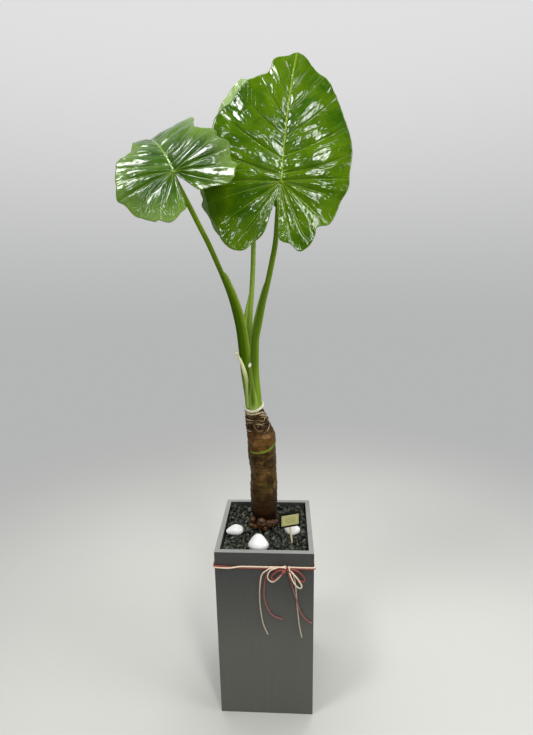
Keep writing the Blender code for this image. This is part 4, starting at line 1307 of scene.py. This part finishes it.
def halfBlade(leaf, table, upperStarts):
    fanNumbers = np.concatenate([number + np.array(leafRelief["rowSteps"])
                                 for number in table["numbers"][:table["fan"]]])
    upper = np.interp(upperStarts, table["starts"][table["fan"]:], table["numbers"][table["fan"]:])
    number = np.concatenate([fanNumbers, [table["fan"]], upper])[:, None]
    share = np.linspace(0.0, 1.0, leafRelief["columns"] + 1)[None, :]
    last = table["numbers"][-1]
    low = np.floor(np.minimum(number, last - 1e-6))
    x, y, reach, end = rowPlaces(leaf, table, number, share)
    lowX, lowY, _, _ = rowPlaces(leaf, table, low, share)
    highX, highY, _, _ = rowPlaces(leaf, table, low + 1, share)
    gap = np.hypot(highX - lowX, highY - lowY)
    part = number - low
    near = np.minimum(part, 1 - part) * gap
    ribAway = np.hypot(x - ribLine(leaf, y), np.minimum(y, 0.0))
    seed = leaf["seed"]

    def mark(name, away):
        size, wide = leafRelief[name]
        return size * bell(away, wide)

    # puckers between the main veins, waves of the margin and creases along the veins
    fade = np.minimum(1.0, np.minimum(number / 2, (last - number) / 2))
    lift = leafRelief["pucker"] * np.sin(math.pi * part) ** 0.8 * fade
    lift = lift * np.sin(math.pi * np.minimum(1.0, share * 1.15)) ** 0.7
    lift = lift + leaf["wave"] * mm * share ** 3 * np.sin(math.pi * number) * fade
    lift = lift - mark("crease", near) * (1 - share ** 2) * ramp(ribAway, 0.004)
    # quilting between the cross veins, then wrinkles and hills
    cross = (reach - 0.6 * near) / leafRelief["crossPitch"]
    cross = cross + 0.3 * softNoise(low * 3.7 + part * 3, reach / 0.02, seed)
    quilt = np.abs(np.sin(math.pi * cross)) ** 0.7 * ramp(near, 0.004) * ramp(reach, 0.012) * (1 - share ** 6)
    wrinkle = softNoise(reach / leafRelief["wrinkleLong"] + 9.3 * low,
                        number * leafRelief["wrinklesAcross"], seed + 1) * ramp(gap, 0.022)
    lift = lift + leafRelief["quilt"] * quilt + leafRelief["wrinkle"] * wrinkle
    hills = sum(strength * softNoise(x / size + 40, y / size + 40, seed + step)
                for strength, size, step in leafRelief["hillWaves"])
    lift = lift + leafRelief["hills"] * hills * ramp(ribAway, 0.012)
    frillSize, frillStep = leafRelief["frill"]
    along = end * table["round"]
    frills = np.sin(along / frillStep) * softNoise(along / 0.03, 0 * end, seed + 4)
    lift = lift + frillSize * share ** 7 * frills
    lift = lift - mark("ribGroove", ribAway) + mark("ribRidge", ribAway)

    top, out = leafPoints(leaf, x, y, lift)
    taper = np.clip(1.0 - np.maximum(y, 0.0) / leafLength(leaf), 0.15, 1.0)
    under = leafRelief["thickness"] * (1 - 0.35 * share ** 6) + taper * mark("ribUnder", ribAway)
    under = under + mark("veinUnder", near) * (1 - share) ** 0.6 * ramp(ribAway, 0.003)
    bottom = top - out * under[..., None]
    values = {"veinNumber": number + 0 * share, "veinGap": gap / mm, "veinReach": reach / mm,
              "ribAway": ribAway / mm, "leafEdge": share + 0 * number}
    return top, bottom, values


def bladeMesh(name, leaf):
    tables = [veinTable(leaf, side) for side in ("left", "right")]
    starts = sharedStarts(tables)
    verts, faces, paint, values = [], [], [], {}
    count = 0
    for side, table in enumerate(tables):
        top, bottom, layer = halfBlade(leaf, table, starts)
        rows, columns = top.shape[:2]
        size = rows * columns
        margin = [count + row * columns + columns - 1 for row in range(rows)]
        foot = range(count, count + columns)
        half = [(quad, 0) for quad in gridFaces(rows, columns, count)]
        half += [(quad, 1) for quad in gridFaces(rows, columns, count + size, flip=True)]
        half += [((far, near, near + size, far + size), 0) for near, far in zip(margin, margin[1:])]
        half += [((far + size, near + size, near, far), 0) for near, far in zip(foot, foot[1:])]
        if side == 0:
            half = [(quad[::-1], slot) for quad, slot in half]
        faces += [quad for quad, _ in half]
        paint += [slot for _, slot in half]
        verts += [top.reshape(-1, 3), bottom.reshape(-1, 3)]
        for key, numbers in layer.items():
            values.setdefault(key, []).extend([numbers.ravel(), numbers.ravel()])
        count += 2 * size
    mesh = meshFrom(name, np.vstack(verts), faces)
    mesh.polygons.foreach_set("material_index", paint)
    corners = np.zeros(len(mesh.loops), int)
    mesh.loops.foreach_get("vertex_index", corners)
    for key, numbers in values.items():
        layer = mesh.attributes.new(key, "FLOAT", "CORNER")
        layer.data.foreach_set("value", np.concatenate(numbers)[corners].astype(np.float32))
    shape = bmesh.new()
    shape.from_mesh(mesh)
    bmesh.ops.remove_doubles(shape, verts=shape.verts, dist=4e-6)
    bmesh.ops.dissolve_degenerate(shape, edges=shape.edges, dist=1e-6)
    bmesh.ops.recalc_face_normals(shape, faces=shape.faces)
    shape.to_mesh(mesh)
    shape.free()
    mesh.shade_smooth()
    return mesh


def leafVeins(tree, sources):
    # how much each point belongs to the midrib, a main vein, a cross vein or the fine net
    number, gap, reach, rib, edge = (sourceOf(tree, sources, name) for name in
                                     ("veinNumber", "veinGap", "veinReach", "ribAway", "leafEdge"))
    part = calc(tree, "FRACT", number)
    near = times(tree, calc(tree, "MINIMUM", part, calc(tree, "SUBTRACT", 1.0, part)), gap)
    taper = calc(tree, "SUBTRACT", 1.0, times(tree, edge, 0.55))
    main = fadeOff(tree, calc(tree, "DIVIDE", near, taper), *leafSkin["mainFade"])
    sources["main"] = times(tree, main, taper)
    sources["rib"] = fadeOff(tree, rib, *leafSkin["ribFade"])
    cross = calc(tree, "SUBTRACT", reach, times(tree, near, 0.6))
    cross = calc(tree, "FRACT", calc(tree, "DIVIDE", cross, leafRelief["crossPitch"] / mm))
    cross = calc(tree, "SUBTRACT", 0.5, awayFrom(tree, cross, 0.5))
    sources["cross"] = fadeOff(tree, cross, *leafSkin["crossFade"])
    cells = addNode(tree, "ShaderNodeTexVoronoi",
                    {"Vector": objectPlace(tree), "Scale": leafSkin["netScale"]}, feature="DISTANCE_TO_EDGE")
    sources["net"] = fadeOff(tree, cells.outputs["Distance"], *leafSkin["netFade"])
    sources["faint"] = calc(tree, "MAXIMUM", sources["cross"], sources["net"])
    sources["strong"] = calc(tree, "MAXIMUM", sources["main"], sources["rib"])


def leafTopSources(tree, sources):
    # ripples run beside the main veins: distances along and across them set where the noise is read
    leafVeins(tree, sources)
    across = times(tree, calc(tree, "FRACT", sources["veinNumber"]), sources["veinGap"])
    beside = addNode(tree, "ShaderNodeCombineXYZ", {
        0: times(tree, sources["veinReach"], leafSkin["alongVein"]),
        1: times(tree, across, leafSkin["acrossVein"]),
        2: times(tree, calc(tree, "FLOOR", sources["veinNumber"]), leafSkin["nextVein"])})
    ripple = calc(tree, "SUBTRACT", grain(tree, beside.outputs[0], 1.0, 2.0, 0.4, 0.4), 0.5)
    sources["ripple"] = times(tree, ripple, fadeOff(tree, sources["calm"], 0.40, 0.60, 0.55, 1.1))


leafSkin = {
    # how far from a vein its colour reaches, then how strong the cross veins and the fine net are
    "mainFade": (0.45, 1.25),
    "ribFade": (0.8, 1.9),
    "crossFade": (0.015, 0.055, 0.35, 0.0),
    "netFade": (0.0, 0.10, 0.22, 0.0),
    "netScale": 300.0,
    "alongVein": 0.038,      # how fast the ripples change a millimetre along a vein, across it, and a vein on
    "acrossVein": 0.13,
    "nextVein": 7.3,
    "marginColour": (0.30, 0.36, 0.10),
    "blades": {
        "bladeFront": {"dark": (0.021, 0.080, 0.0001), "light": (0.094, 0.184, 0.0004),
                       "vein": (0.260, 0.390, 0.020), "paintedSheen": 0.0, "gloss": 0.10, "rippling": 1.0},
        "bladeLeft": {"dark": (0.015, 0.062, 0.0003), "light": (0.070, 0.164, 0.002),
                      "vein": (0.230, 0.360, 0.055), "paintedSheen": 0.34, "gloss": 0.24, "rippling": 0.7},
        # the back leaf's paler greens are a painted sheen on the same leaf green
        "bladeBack": {"dark": (0.105, 0.222, 0.026), "light": (0.215, 0.355, 0.090),
                      "vein": (0.390, 0.500, 0.220), "paintedSheen": 0.5, "gloss": 0.34, "rippling": 0.5},
    },
    "underside": {
        "name": "leafUnderside", "rough": 0.5, "fixed": {"Specular IOR Level": 0.4},
        "noises": {"clouds": (None, 22.0)},
        "sums": {"netting": (("cross", 1.0), ("net", 1.0))},
        "base": (0.120, 0.235, 0.050),
        "coats": (("clouds", (0.185, 0.310, 0.085)), ("faint", (0.070, 0.165, 0.022)),
                  ("strong", (0.340, 0.450, 0.150))),
        "relief": ("netting", 0.0010, 0.7),
    },
}


def leafTopSkin(name):
    dark, light, vein, paintedSheen, gloss, rippling = leafSkin["blades"][name].values()
    return {"name": "leafTop" + name[5:], "rough": gloss,
            "fixed": {"Specular IOR Level": 0.42, "Coat Weight": 0.4, "Coat Roughness": 0.05},
            "noises": {"clouds": (None, 16.0), "flecks": (None, 120.0, 4.0), "calm": (None, 24.0, 2.0)},
            "sums": {"swell": (("ripple", rippling), ("net", -0.02), ("cross", -0.04))},
            "base": dark,
            "coats": (("clouds", 0.32, 0.68, 0.0, 1.0, light), ("flecks", 0.45, dark),
                      # paler towards the margin by the painted sheen share
                      ("leafEdge", 0.55, 1.0, 0.0, paintedSheen, vein), ("faint", 0.35, vein),
                      ("main", 0.65, vein), ("rib", 0.8, vein),
                      ("leafEdge", 0.985, 1.0, 0.0, 0.4, leafSkin["marginColour"])),
            "roughBy": ("flecks", 0.08, gloss - 0.04),
            "relief": ("swell", 0.0052, 0.5)}


def makeLeaves():
    underside = makeSkin(leafSkin["underside"], leafVeins)
    for name, leaf in leaves.items():
        material = makeSkin(leafTopSkin(name), leafTopSources)
        settle(showObject(name, bladeMesh(name, leaf), material, underside), "leaf", leaf["node"])


makeLeaves()
print("leaves made")


# stalks, dry sheath and cut stub

crown = (-0.0235, 0.020, 0.6673)      # where the stalks leave the trunk's top, in metres

stalks = {
    # travel marks along the stalk, then half widths across and deep, and the reach of the sheath's wings
    "petioleLeft": {"node": "petiole_left", "blade": "bladeLeft", "foot": (-8.4, -4.0),
                    "wingWay": (0.96, 0.10, 0.26),
                    "marks": (0, 0.08, 0.28, 0.42, 0.515, 0.560, 0.573, 0.585, 1),
                    "across": (8.5, 9.6, 9.8, 8.4, 6.2, 5.3, 5.1, 4.9, 4.3),
                    "deep": (8.0, 8.0, 7.2, 6.2, 5.4, 5.1, 5.0, 4.8, 4.2),
                    "wings": (0.0, 4.0, 6.0, 5.6, 5.0, 4.6, 3.2, 0.0, 0.0), "pale": 0.0,
                    "route": ((-38, 14, 741), (-42, 10, 801), (-47, 3, 847), (-59, -8, 899), (-79, -21, 954),
                              (-95, -31, 996), (-110, -41, 1030), (-124, -50, 1062))},
    "petioleBack": {"node": "petiole_back", "blade": "bladeBack", "foot": (0.0, 10.6),
                    "wingWay": (-1.0, -0.12, 0.0),
                    "marks": (0, 0.10, 0.30, 0.39, 0.45, 0.485, 0.505, 0.52, 1),
                    "across": (7.6, 7.8, 7.2, 6.2, 5.5, 5.3, 5.2, 5.1, 4.6),
                    "deep": (7.6, 7.6, 6.6, 5.8, 5.3, 5.2, 5.1, 5.0, 4.5),
                    "wings": (0.0, 5.0, 11.0, 9.5, 6.0, 3.2, 1.8, 0.0, 0.0), "pale": 0.9,
                    "route": ((-28, 31, 741), (-31, 35, 812), (-29, 39, 853), (-25, 43, 896), (-21, 50, 954),
                              (-19.5, 57, 998), (-16, 62, 1058))},
    "petioleFront": {"node": "petiole_front", "blade": "bladeFront", "foot": (8.4, -4.0),
                     "wingWay": (-0.97, 0.05, 0.20),
                     "marks": (0, 0.08, 0.29, 0.42, 0.50, 0.545, 0.562, 0.575, 1),
                     "across": (8.6, 9.2, 8.8, 7.8, 6.4, 5.9, 5.7, 5.6, 4.2),
                     "deep": (8.0, 8.0, 7.0, 6.2, 5.6, 5.4, 5.3, 5.2, 4.1),
                     "wings": (0.0, 4.0, 4.4, 3.4, 2.8, 2.4, 1.4, 0.0, 0.0), "pale": 0.15,
                     "route": ((-19, 13, 742), (-17, 11, 811), (-12, 9, 834), (-1, 6, 882), (10, 2, 921),
                               (20, -3, 964), (28, -9, 1004), (33, -14, 1063))},
}

stalkForm = {
    "neck": 0.010,
    "controls": 34,
    "rings": 300,
    "sides": 64,
    "wingSpread": 0.42,      # angle of each wing from the open side
    "wingWidth": 0.15,
    "grooveDepth": 0.20,
    "flutes": 9,
    "fluteDepth": 0.010,
    "smoothing": 10,      # passes that even out the line's bends
    "upperSkin": ((0.021, 0.060, 0.0002), (0.066, 0.128, 0.0008)),
    "skin": {
        "name": "stalkSkin", "rough": 0.34, "fixed": {"Specular IOR Level": 0.10},
        "noises": {"fibres": ((420.0, 420.0, 9.0), 1.0, 4.0), "clouds": ((30.0, 30.0, 12.0), 1.0)},
        "base": (0.130, 0.250, 0.006),
        "coats": (("fibres", (0.260, 0.380, 0.035)),
                  ("climb", 0.11, 0.25, 0.0, 1.0, "upperSkin"),
                  ("climb", 0.42, 0.90, 0.0, 0.75, (0.200, 0.315, 0.012)),
                  ("paleSkin", (0.290, 0.420, 0.060)),
                  # painted light on each stalk's side towards +x
                  ("paleSide", (0.240, 0.360, 0.016)),
                  ("clouds", 0.35, (0.050, 0.130, 0.002)),
                  ("wing", 0.6, (0.330, 0.450, 0.080)),
                  ("climb", 0.0, 0.05, 0.7, 0.0, (0.460, 0.520, 0.220))),
        "relief": ("fibres", 0.0004, 0.45),
    },
}


def stalkSources(tree, sources):
    sources["upperSkin"] = blendColours(tree, sources["fibres"], *stalkForm["upperSkin"])


def stalkLine(stalk):
    leaf = leaves[stalk["blade"]]
    tip, face = leafAxes(leaf)
    foot = np.array(crown) + np.array((*stalk["foot"], 0.0)) * mm
    under = np.array(leaf["seat"]) - face * (leafRelief["thickness"] * 0.5)
    neck = stalkForm["neck"]
    points = [foot + (0, 0, 0.003), foot + (0, 0, 0.018)]
    points += [np.array(spot) * mm for spot in stalk["route"]]
    points += [under - face * neck - tip * neck / 3]
    line = [foot] + list(smoothLine(points, stalkForm["controls"] - 3)) + [under - face * neck / 2, under]
    return np.array(line)


def widthsAlong(form, travel, *keys):
    return (np.interp(travel, form["marks"], form[key])[:, None] * mm for key in keys)


def makeStalk(name, stalk, material):
    control = stalkLine(stalk)
    travel = np.linspace(0.0, 1.0, stalkForm["rings"])
    line = lineAt(travel, np.linspace(0.0, 1.0, len(control)), control)
    for _ in range(stalkForm["smoothing"]):
        line[1:-1] = 0.25 * line[:-2] + 0.5 * line[1:-1] + 0.25 * line[2:]
    across, deep, reach = widthsAlong(stalk, travel, "across", "deep", "wings")
    angle = roundAngles(stalkForm["sides"])[None, :]
    angle = np.where(angle > math.pi, angle - 2 * math.pi, angle)
    # a sheath wider than deep, with two thin wings and a groove between them, ending in round ears
    wing = bell(np.abs(angle) - stalkForm["wingSpread"], stalkForm["wingWidth"])
    groove = bell(angle, stalkForm["wingSpread"] * 0.7, 4)
    share = reach / reach.max()
    flute = stalkForm["fluteDepth"] * np.cos(angle * stalkForm["flutes"] + 1.3)
    radii = ovalRadii(angle, across, deep) * (1.0 + flute - stalkForm["grooveDepth"] * groove * share)
    points = tubeGrid(line, radii + wing * reach, stalkForm["sides"], stalk["wingWay"], fixedSide=True)
    mesh = meshFrom(name, points.reshape(-1, 3), tubeFaces(len(line), stalkForm["sides"]))
    # the side towards +x is painted lighter: painted light from the right
    facing = np.cos(angle) * np.sign(stalk["wingWay"][0]) + 0 * travel[:, None]
    pointValues(mesh, climb=travel[:, None] + 0 * angle, wing=wing ** 1.4 * np.clip(share * 2, 0.0, 1.0),
                paleSkin=np.full(points.shape[:2], stalk["pale"]), paleSide=0.55 * ramp(facing, 0.5, 0.45))
    settle(showObject(name, mesh, material), "stalk", stalk["node"])


drySheath = {
    "route": ((-33.5, 5.0, 667.3), (-34.8, 2.0, 700), (-36.4, -1.5, 735), (-44.5, -4.0, 767),
              (-56, -6.0, 791)),
    "marks": (0.0, 0.3, 0.6, 1.0),
    "halfWidths": (2.0, 2.6, 4.4, 0.9),
    "curl": 1.9,
    "rows": 90,
    "columns": 25,
    "thick": 0.0006,
    "skin": {
        "name": "paperySheath", "rough": 0.6, "fixed": {"Subsurface Weight": 0.1, "Subsurface Scale": 0.003},
        "noises": {"fibres": ((700.0, 700.0, 14.0), 1.0, 4.0), "stains": (None, 70.0, 4.0)},
        "base": (0.58, 0.58, 0.26),
        "coats": (("fibres", (0.84, 0.82, 0.50)), ("climb", 0.38, 0.74, 0.85, 0.0, (0.25, 0.34, 0.07)),
                  ("stains", 0.58, 0.70, 0.0, 0.4, (0.30, 0.19, 0.07))),
        "relief": ("fibres", 0.0005, 0.7),
    },
}


def showSheet(name, front, thickness, material):
    # a sheet whose material knows how far up it is
    rows, columns = front.shape[:2]
    mesh = meshFrom(name, *sheetForm(front, thickness))
    climb = np.repeat(np.linspace(0.0, 1.0, rows), columns)
    pointValues(mesh, climb=np.concatenate([climb, climb]))
    return showObject(name, mesh, material)


def makeDrySheath():
    spine = smoothLine(drySheath["route"], drySheath["rows"])
    climb = np.linspace(0.0, 1.0, drySheath["rows"])[:, None]
    half = np.interp(climb, drySheath["marks"], drySheath["halfWidths"])
    step = np.linspace(-1.0, 1.0, drySheath["columns"])[None, :]
    crinkle = softNoise(step * 3 + 5, climb * 14, 51)
    x = spine[:, :1] + step * half + 0.3 * crinkle
    y = spine[:, 1:2] + drySheath["curl"] * (step ** 2 * (1 + 0.6 * climb) - 1.3) + 0.35 * crinkle
    z = spine[:, 2:] + 1.2 * step ** 2 * climb
    front = np.stack([x, y, z], axis=-1)[:, ::-1] * mm
    sheath = showSheet("drySheath", front, drySheath["thick"], makeSkin(drySheath["skin"]))
    settle(sheath, "dry_sheath", "dry_sheath")


stub = {
    "foot": (-22.5, 7.5, 660.5),
    "route": ((-22.5, 6.5, 667), (-23, 5.5, 685), (-23.8, 3.0, 705), (-25.5, 0.0, 735), (-27.5, -2.5, 763)),
    "marks": (0, 0.12, 0.30, 0.50, 0.72, 1),
    "across": (8.0, 9.6, 8.8, 5.8, 4.0, 3.3),
    "deep": (6.2, 7.6, 7.2, 5.4, 4.1, 3.5),
    "rings": 110,
    "sides": 40,
    # angles round the stub, with the front at three quarters of a turn
    "front": 4.75,
    "folds": (5.25, 4.05),
    "foldWidth": 0.13,
    "foldEnd": 0.75,
    "bulge": 0.0026,
    "skin": {
        "name": "stubSkin", "rough": 0.3,
        "fixed": {"Specular IOR Level": 0.25, "Coat Weight": 0.5, "Coat Roughness": 0.06},
        "noises": {"fibres": ((500.0, 500.0, 14.0), 1.0, 4.0)},
        "base": (0.200, 0.330, 0.020),
        "coats": (("fibres", (0.330, 0.450, 0.070)), ("oval", (0.050, 0.120, 0.0008)),
                  ("climb", 0.30, 0.60, 0.0, 0.75, (0.085, 0.155, 0.004)), ("fold", (0.42, 0.52, 0.18)),
                  ("climb", 0.0, 0.10, 0.7, 0.0, (0.46, 0.54, 0.20))),
        "relief": ("fibres", 0.0004, 0.5),
    },
    "cutSkin": {
        "name": "cutPith", "rough": 0.6, "base": (0.74, 0.74, 0.50),
        "coats": (("pores", (0.97, 0.96, 0.78)),), "relief": ("pores", 0.0004, 0.6),
    },
}


def pithPores(tree, sources):
    cells = addNode(tree, "ShaderNodeTexVoronoi", {"Vector": objectPlace(tree), "Scale": 1500.0})
    sources["pores"] = cells.outputs["Distance"]


def makeStub():
    rings, sides = stub["rings"], stub["sides"]
    controls = np.vstack([[stub["foot"]], smoothLine(stub["route"], 13)]) * mm
    travel = np.linspace(0.0, 1.0, rings)
    line = lineAt(travel, np.linspace(0.0, 1.0, len(controls)), controls)
    across, deep = widthsAlong(stub, travel, "across", "deep")
    angle = roundAngles(sides)[None, :]
    travel = travel[:, None]
    # two folds down the front and a bulge between them, and a slanting cut at the top
    fold = sum(bell(angle - turn, stub["foldWidth"]) for turn in stub["folds"])
    fold = fold * np.clip(1 - travel / stub["foldEnd"], 0.0, 1.0)
    radii = ovalRadii(angle, across, deep) * (1.0 + 0.16 * fold + 0.012 * np.cos(angle * 8))
    radii = radii + stub["bulge"] * bell(travel - 0.20, 0.16) * bell(angle - stub["front"], 0.60)
    points = tubeGrid(line, radii, sides, (1.0, 0.0, 0.0), fixedSide=True)
    slant = ramp(travel, 0.10, 0.90) ** 1.5
    points[..., 2] += slant * (0.0032 * np.sin(angle) + 0.0010 * np.cos(angle) - 0.0012)
    faces = tubeFaces(rings, sides)
    mesh = meshFrom("petioleStub", points.reshape(-1, 3), faces)
    mesh.polygons[len(faces) - 1].material_index = 1
    mesh.set_sharp_from_angle(angle=math.radians(50))
    oval = 0.9 * bell(travel - 0.34, 0.21, 4) * bell(angle - stub["front"], 0.66, 4)
    pointValues(mesh, climb=travel + 0 * angle, fold=np.clip(fold, 0.0, 1.0) ** 2 * 0.6, oval=oval)
    piece = showObject("petioleStub", mesh, makeSkin(stub["skin"]), makeSkin(stub["cutSkin"], pithPores))
    settle(piece, "stalk", "petiole_stub")


collars = {
    # the ring's centre and half widths, lower edge, height, rise to the right and to the back, reach round it
    "crownCollar": {"centre": (-22.6, 19.8), "half": (20.2, 20.9), "low": 666.5, "tall": 5.6, "tilt": 2.6,
                    "dip": 7.5, "from": -3.35, "span": 3.75, "flare": 1.2, "thick": 4.2,
                    "pale": (0.86, 0.85, 0.64), "deep": (0.30, 0.24, 0.10)},
    "lowerCollar": {"centre": (-21.5, 21.0), "half": (21.6, 22.4), "low": 659.5, "tall": 3.2, "tilt": 2.0,
                    "dip": 5.5, "from": -2.85, "span": 2.2, "flare": 1.0, "thick": 1.4,
                    "pale": (0.66, 0.58, 0.32), "deep": (0.08, 0.045, 0.018)},
}


def makeCollars():
    # rims of fresh leaf bases cut back round the crown
    rows, columns = 10, 110
    climb = np.linspace(0.0, 1.0, rows)[:, None]
    share = np.linspace(0.0, 1.0, columns)[None, :]
    ends = np.sin(math.pi * share) ** 0.4
    ragged = 0.8 + 0.2 * softNoise(share * 14, share * 0, 91)
    for name, collar in collars.items():
        skin = {"name": name + "Skin", "rough": 0.55, "noises": {"fibres": ((300.0, 300.0, 500.0), 1.0)},
                "base": collar["deep"],
                "coats": (("climb", 0.10, 0.40, 0.0, 1.0, collar["pale"]),
                          ("fibres", 0.4, (0.24, 0.17, 0.08))),
                "relief": ("fibres", 0.0004, 0.6)}
        angle = collar["from"] + collar["span"] * share
        rise = collar["tilt"] * np.cos(angle) + collar["dip"] * np.sin(angle)
        height = collar["low"] + collar["tall"] * climb * ends * ragged + rise
        bulge = collar["flare"] * climb ** 2 + 0.3 * softNoise(share * 20, climb * 2, 92)
        (midX, midY), (halfX, halfY) = collar["centre"], collar["half"]
        front = np.stack([midX + (halfX + bulge) * np.cos(angle), midY + (halfY + bulge) * np.sin(angle),
                          height], axis=-1) * mm
        settle(showSheet(name, front, collar["thick"] * mm, makeSkin(skin)), "stalk")


stalkSkin = makeSkin(stalkForm["skin"], stalkSources)
for stalkName, stalkSpec in stalks.items():
    makeStalk(stalkName, stalkSpec, stalkSkin)
makeDrySheath()
makeStub()
makeCollars()
print("stalks made")


# floor and light

studio = {
    "floorRadius": 6.0,
    "floorFade": (0.45, 2.0),      # the floor thins out into the backdrop between these distances
    "floor": (0.60, 0.60, 0.565),
    "floorShade": (0.96, 0.96, 0.955),
    "floorSides": 96,
    "wallLow": (0.46, 0.465, 0.465),
    "wallHigh": (0.75, 0.755, 0.75),
    "wallFade": (-0.15, 0.5),
    "fillFront": (0.05, 0.052, 0.05),      # the fill is dimmer before the object than behind it
    "fillBack": (0.60, 0.615, 0.62),
    "fillFade": (-0.25, 0.75),
    # place, the point it is turned to, width and length, watts, and whether glossy pieces mirror it
    "lamps": {
        "leftStrip": ((-0.94, -0.72, 2.84), (-0.1, -0.05, 1.1), (0.45, 0.58), 24, True),
        "rightStrip": ((0.76, -1.62, 2.56), (0.1, -0.02, 1.1), (0.34, 1.0), 18, True),
        "glint": ((0.02, -1.76, 2.50), (0.0, -0.03, 1.15), (0.10, 0.20), 2.6, True),
        "leftGlint": ((-0.70, -1.66, 2.35), (-0.05, -0.03, 1.05), (0.12, 0.20), 2.2, True),
        "rightFill": ((1.3, -2.3, 1.9), (-0.05, 0.0, 1.1), (0.8, 0.8), 11, False),
        "overhead": ((0.0, 0.35, 3.2), (0.0, 0.0, 0.9), (2.0, 1.0), 36, False),
        "frontFill": ((-0.4, -3.6, 0.6), (0.0, 0.0, 0.3), (2.4, 1.2), 25, False),
        "sideFill": ((2.2, -0.6, 1.5), (0.0, 0.0, 0.95), (1.0, 1.4), 22, True),
        "backFill": ((0.9, 2.8, 2.0), (0.0, 0.0, 0.8), (1.8, 1.2), 19, False),
    },
}


def floorMaterial():
    colour = studio["floor"]
    darker = tuple(value * share for value, share in zip(colour, studio["floorShade"]))
    material = makeSkin({"name": "paleFloor", "rough": 0.75, "noises": {"cloud": (None, 1.5)},
                         "base": colour, "coats": (("cloud", darker),)})
    tree = material.node_tree
    away = addNode(tree, "ShaderNodeVectorMath", {0: objectPlace(tree)}, operation="LENGTH").outputs["Value"]
    seen = fadeOff(tree, away, *studio["floorFade"])
    tree.links.new(seen, tree.nodes["Principled BSDF"].inputs["Alpha"])
    return material


def makeBackdrop():
    # the eye meets a pale wall, lightest at the top; the object is lit by a dimmer, even fill
    world = bpy.data.worlds.new("studioWall")
    world.use_nodes = True
    tree = world.node_tree
    fill = tree.nodes["Background"]
    way = axesOf(tree, addNode(tree, "ShaderNodeTexCoord").outputs["Generated"])
    behind = fadeOff(tree, way[1], *studio["fillFade"], 0.0, 1.0)
    tree.links.new(blendColours(tree, behind, studio["fillFront"], studio["fillBack"]), fill.inputs[0])
    climb = fadeOff(tree, way[2], *studio["wallFade"], 0.0, 1.0)
    paint = blendColours(tree, climb, studio["wallLow"], studio["wallHigh"])
    wall = addNode(tree, "ShaderNodeBackground", {0: paint})
    seen = addNode(tree, "ShaderNodeLightPath").outputs["Is Camera Ray"]
    both = addNode(tree, "ShaderNodeMixShader", {0: seen, 1: fill.outputs[0], 2: wall.outputs[0]})
    tree.links.new(both.outputs[0], tree.nodes["World Output"].inputs["Surface"])
    bpy.context.scene.world = world


def makeStudio():
    floor = bmesh.new()
    bmesh.ops.create_circle(floor, cap_ends=True, segments=studio["floorSides"],
                            radius=studio["floorRadius"])
    mesh = shapeMesh("floor", floor)
    showObject("floor", mesh, floorMaterial())
    makeBackdrop()
    for name, (place, aim, size, power, mirrored) in studio["lamps"].items():
        data = bpy.data.lights.new(name, "AREA")
        data.shape = "RECTANGLE"
        data.size, data.size_y = size
        data.energy = power
        lamp = bpy.data.objects.new(name, data)
        bpy.context.scene.collection.objects.link(lamp)
        away = (Vector(place) - Vector(aim)).to_track_quat("Z", "Y").to_matrix().to_4x4()
        lamp.matrix_world = Matrix.Translation(place) @ away
        lamp.visible_glossy = mirrored
    bpy.context.scene.view_settings.view_transform = "Standard"


makeStudio()
print("studio lit")
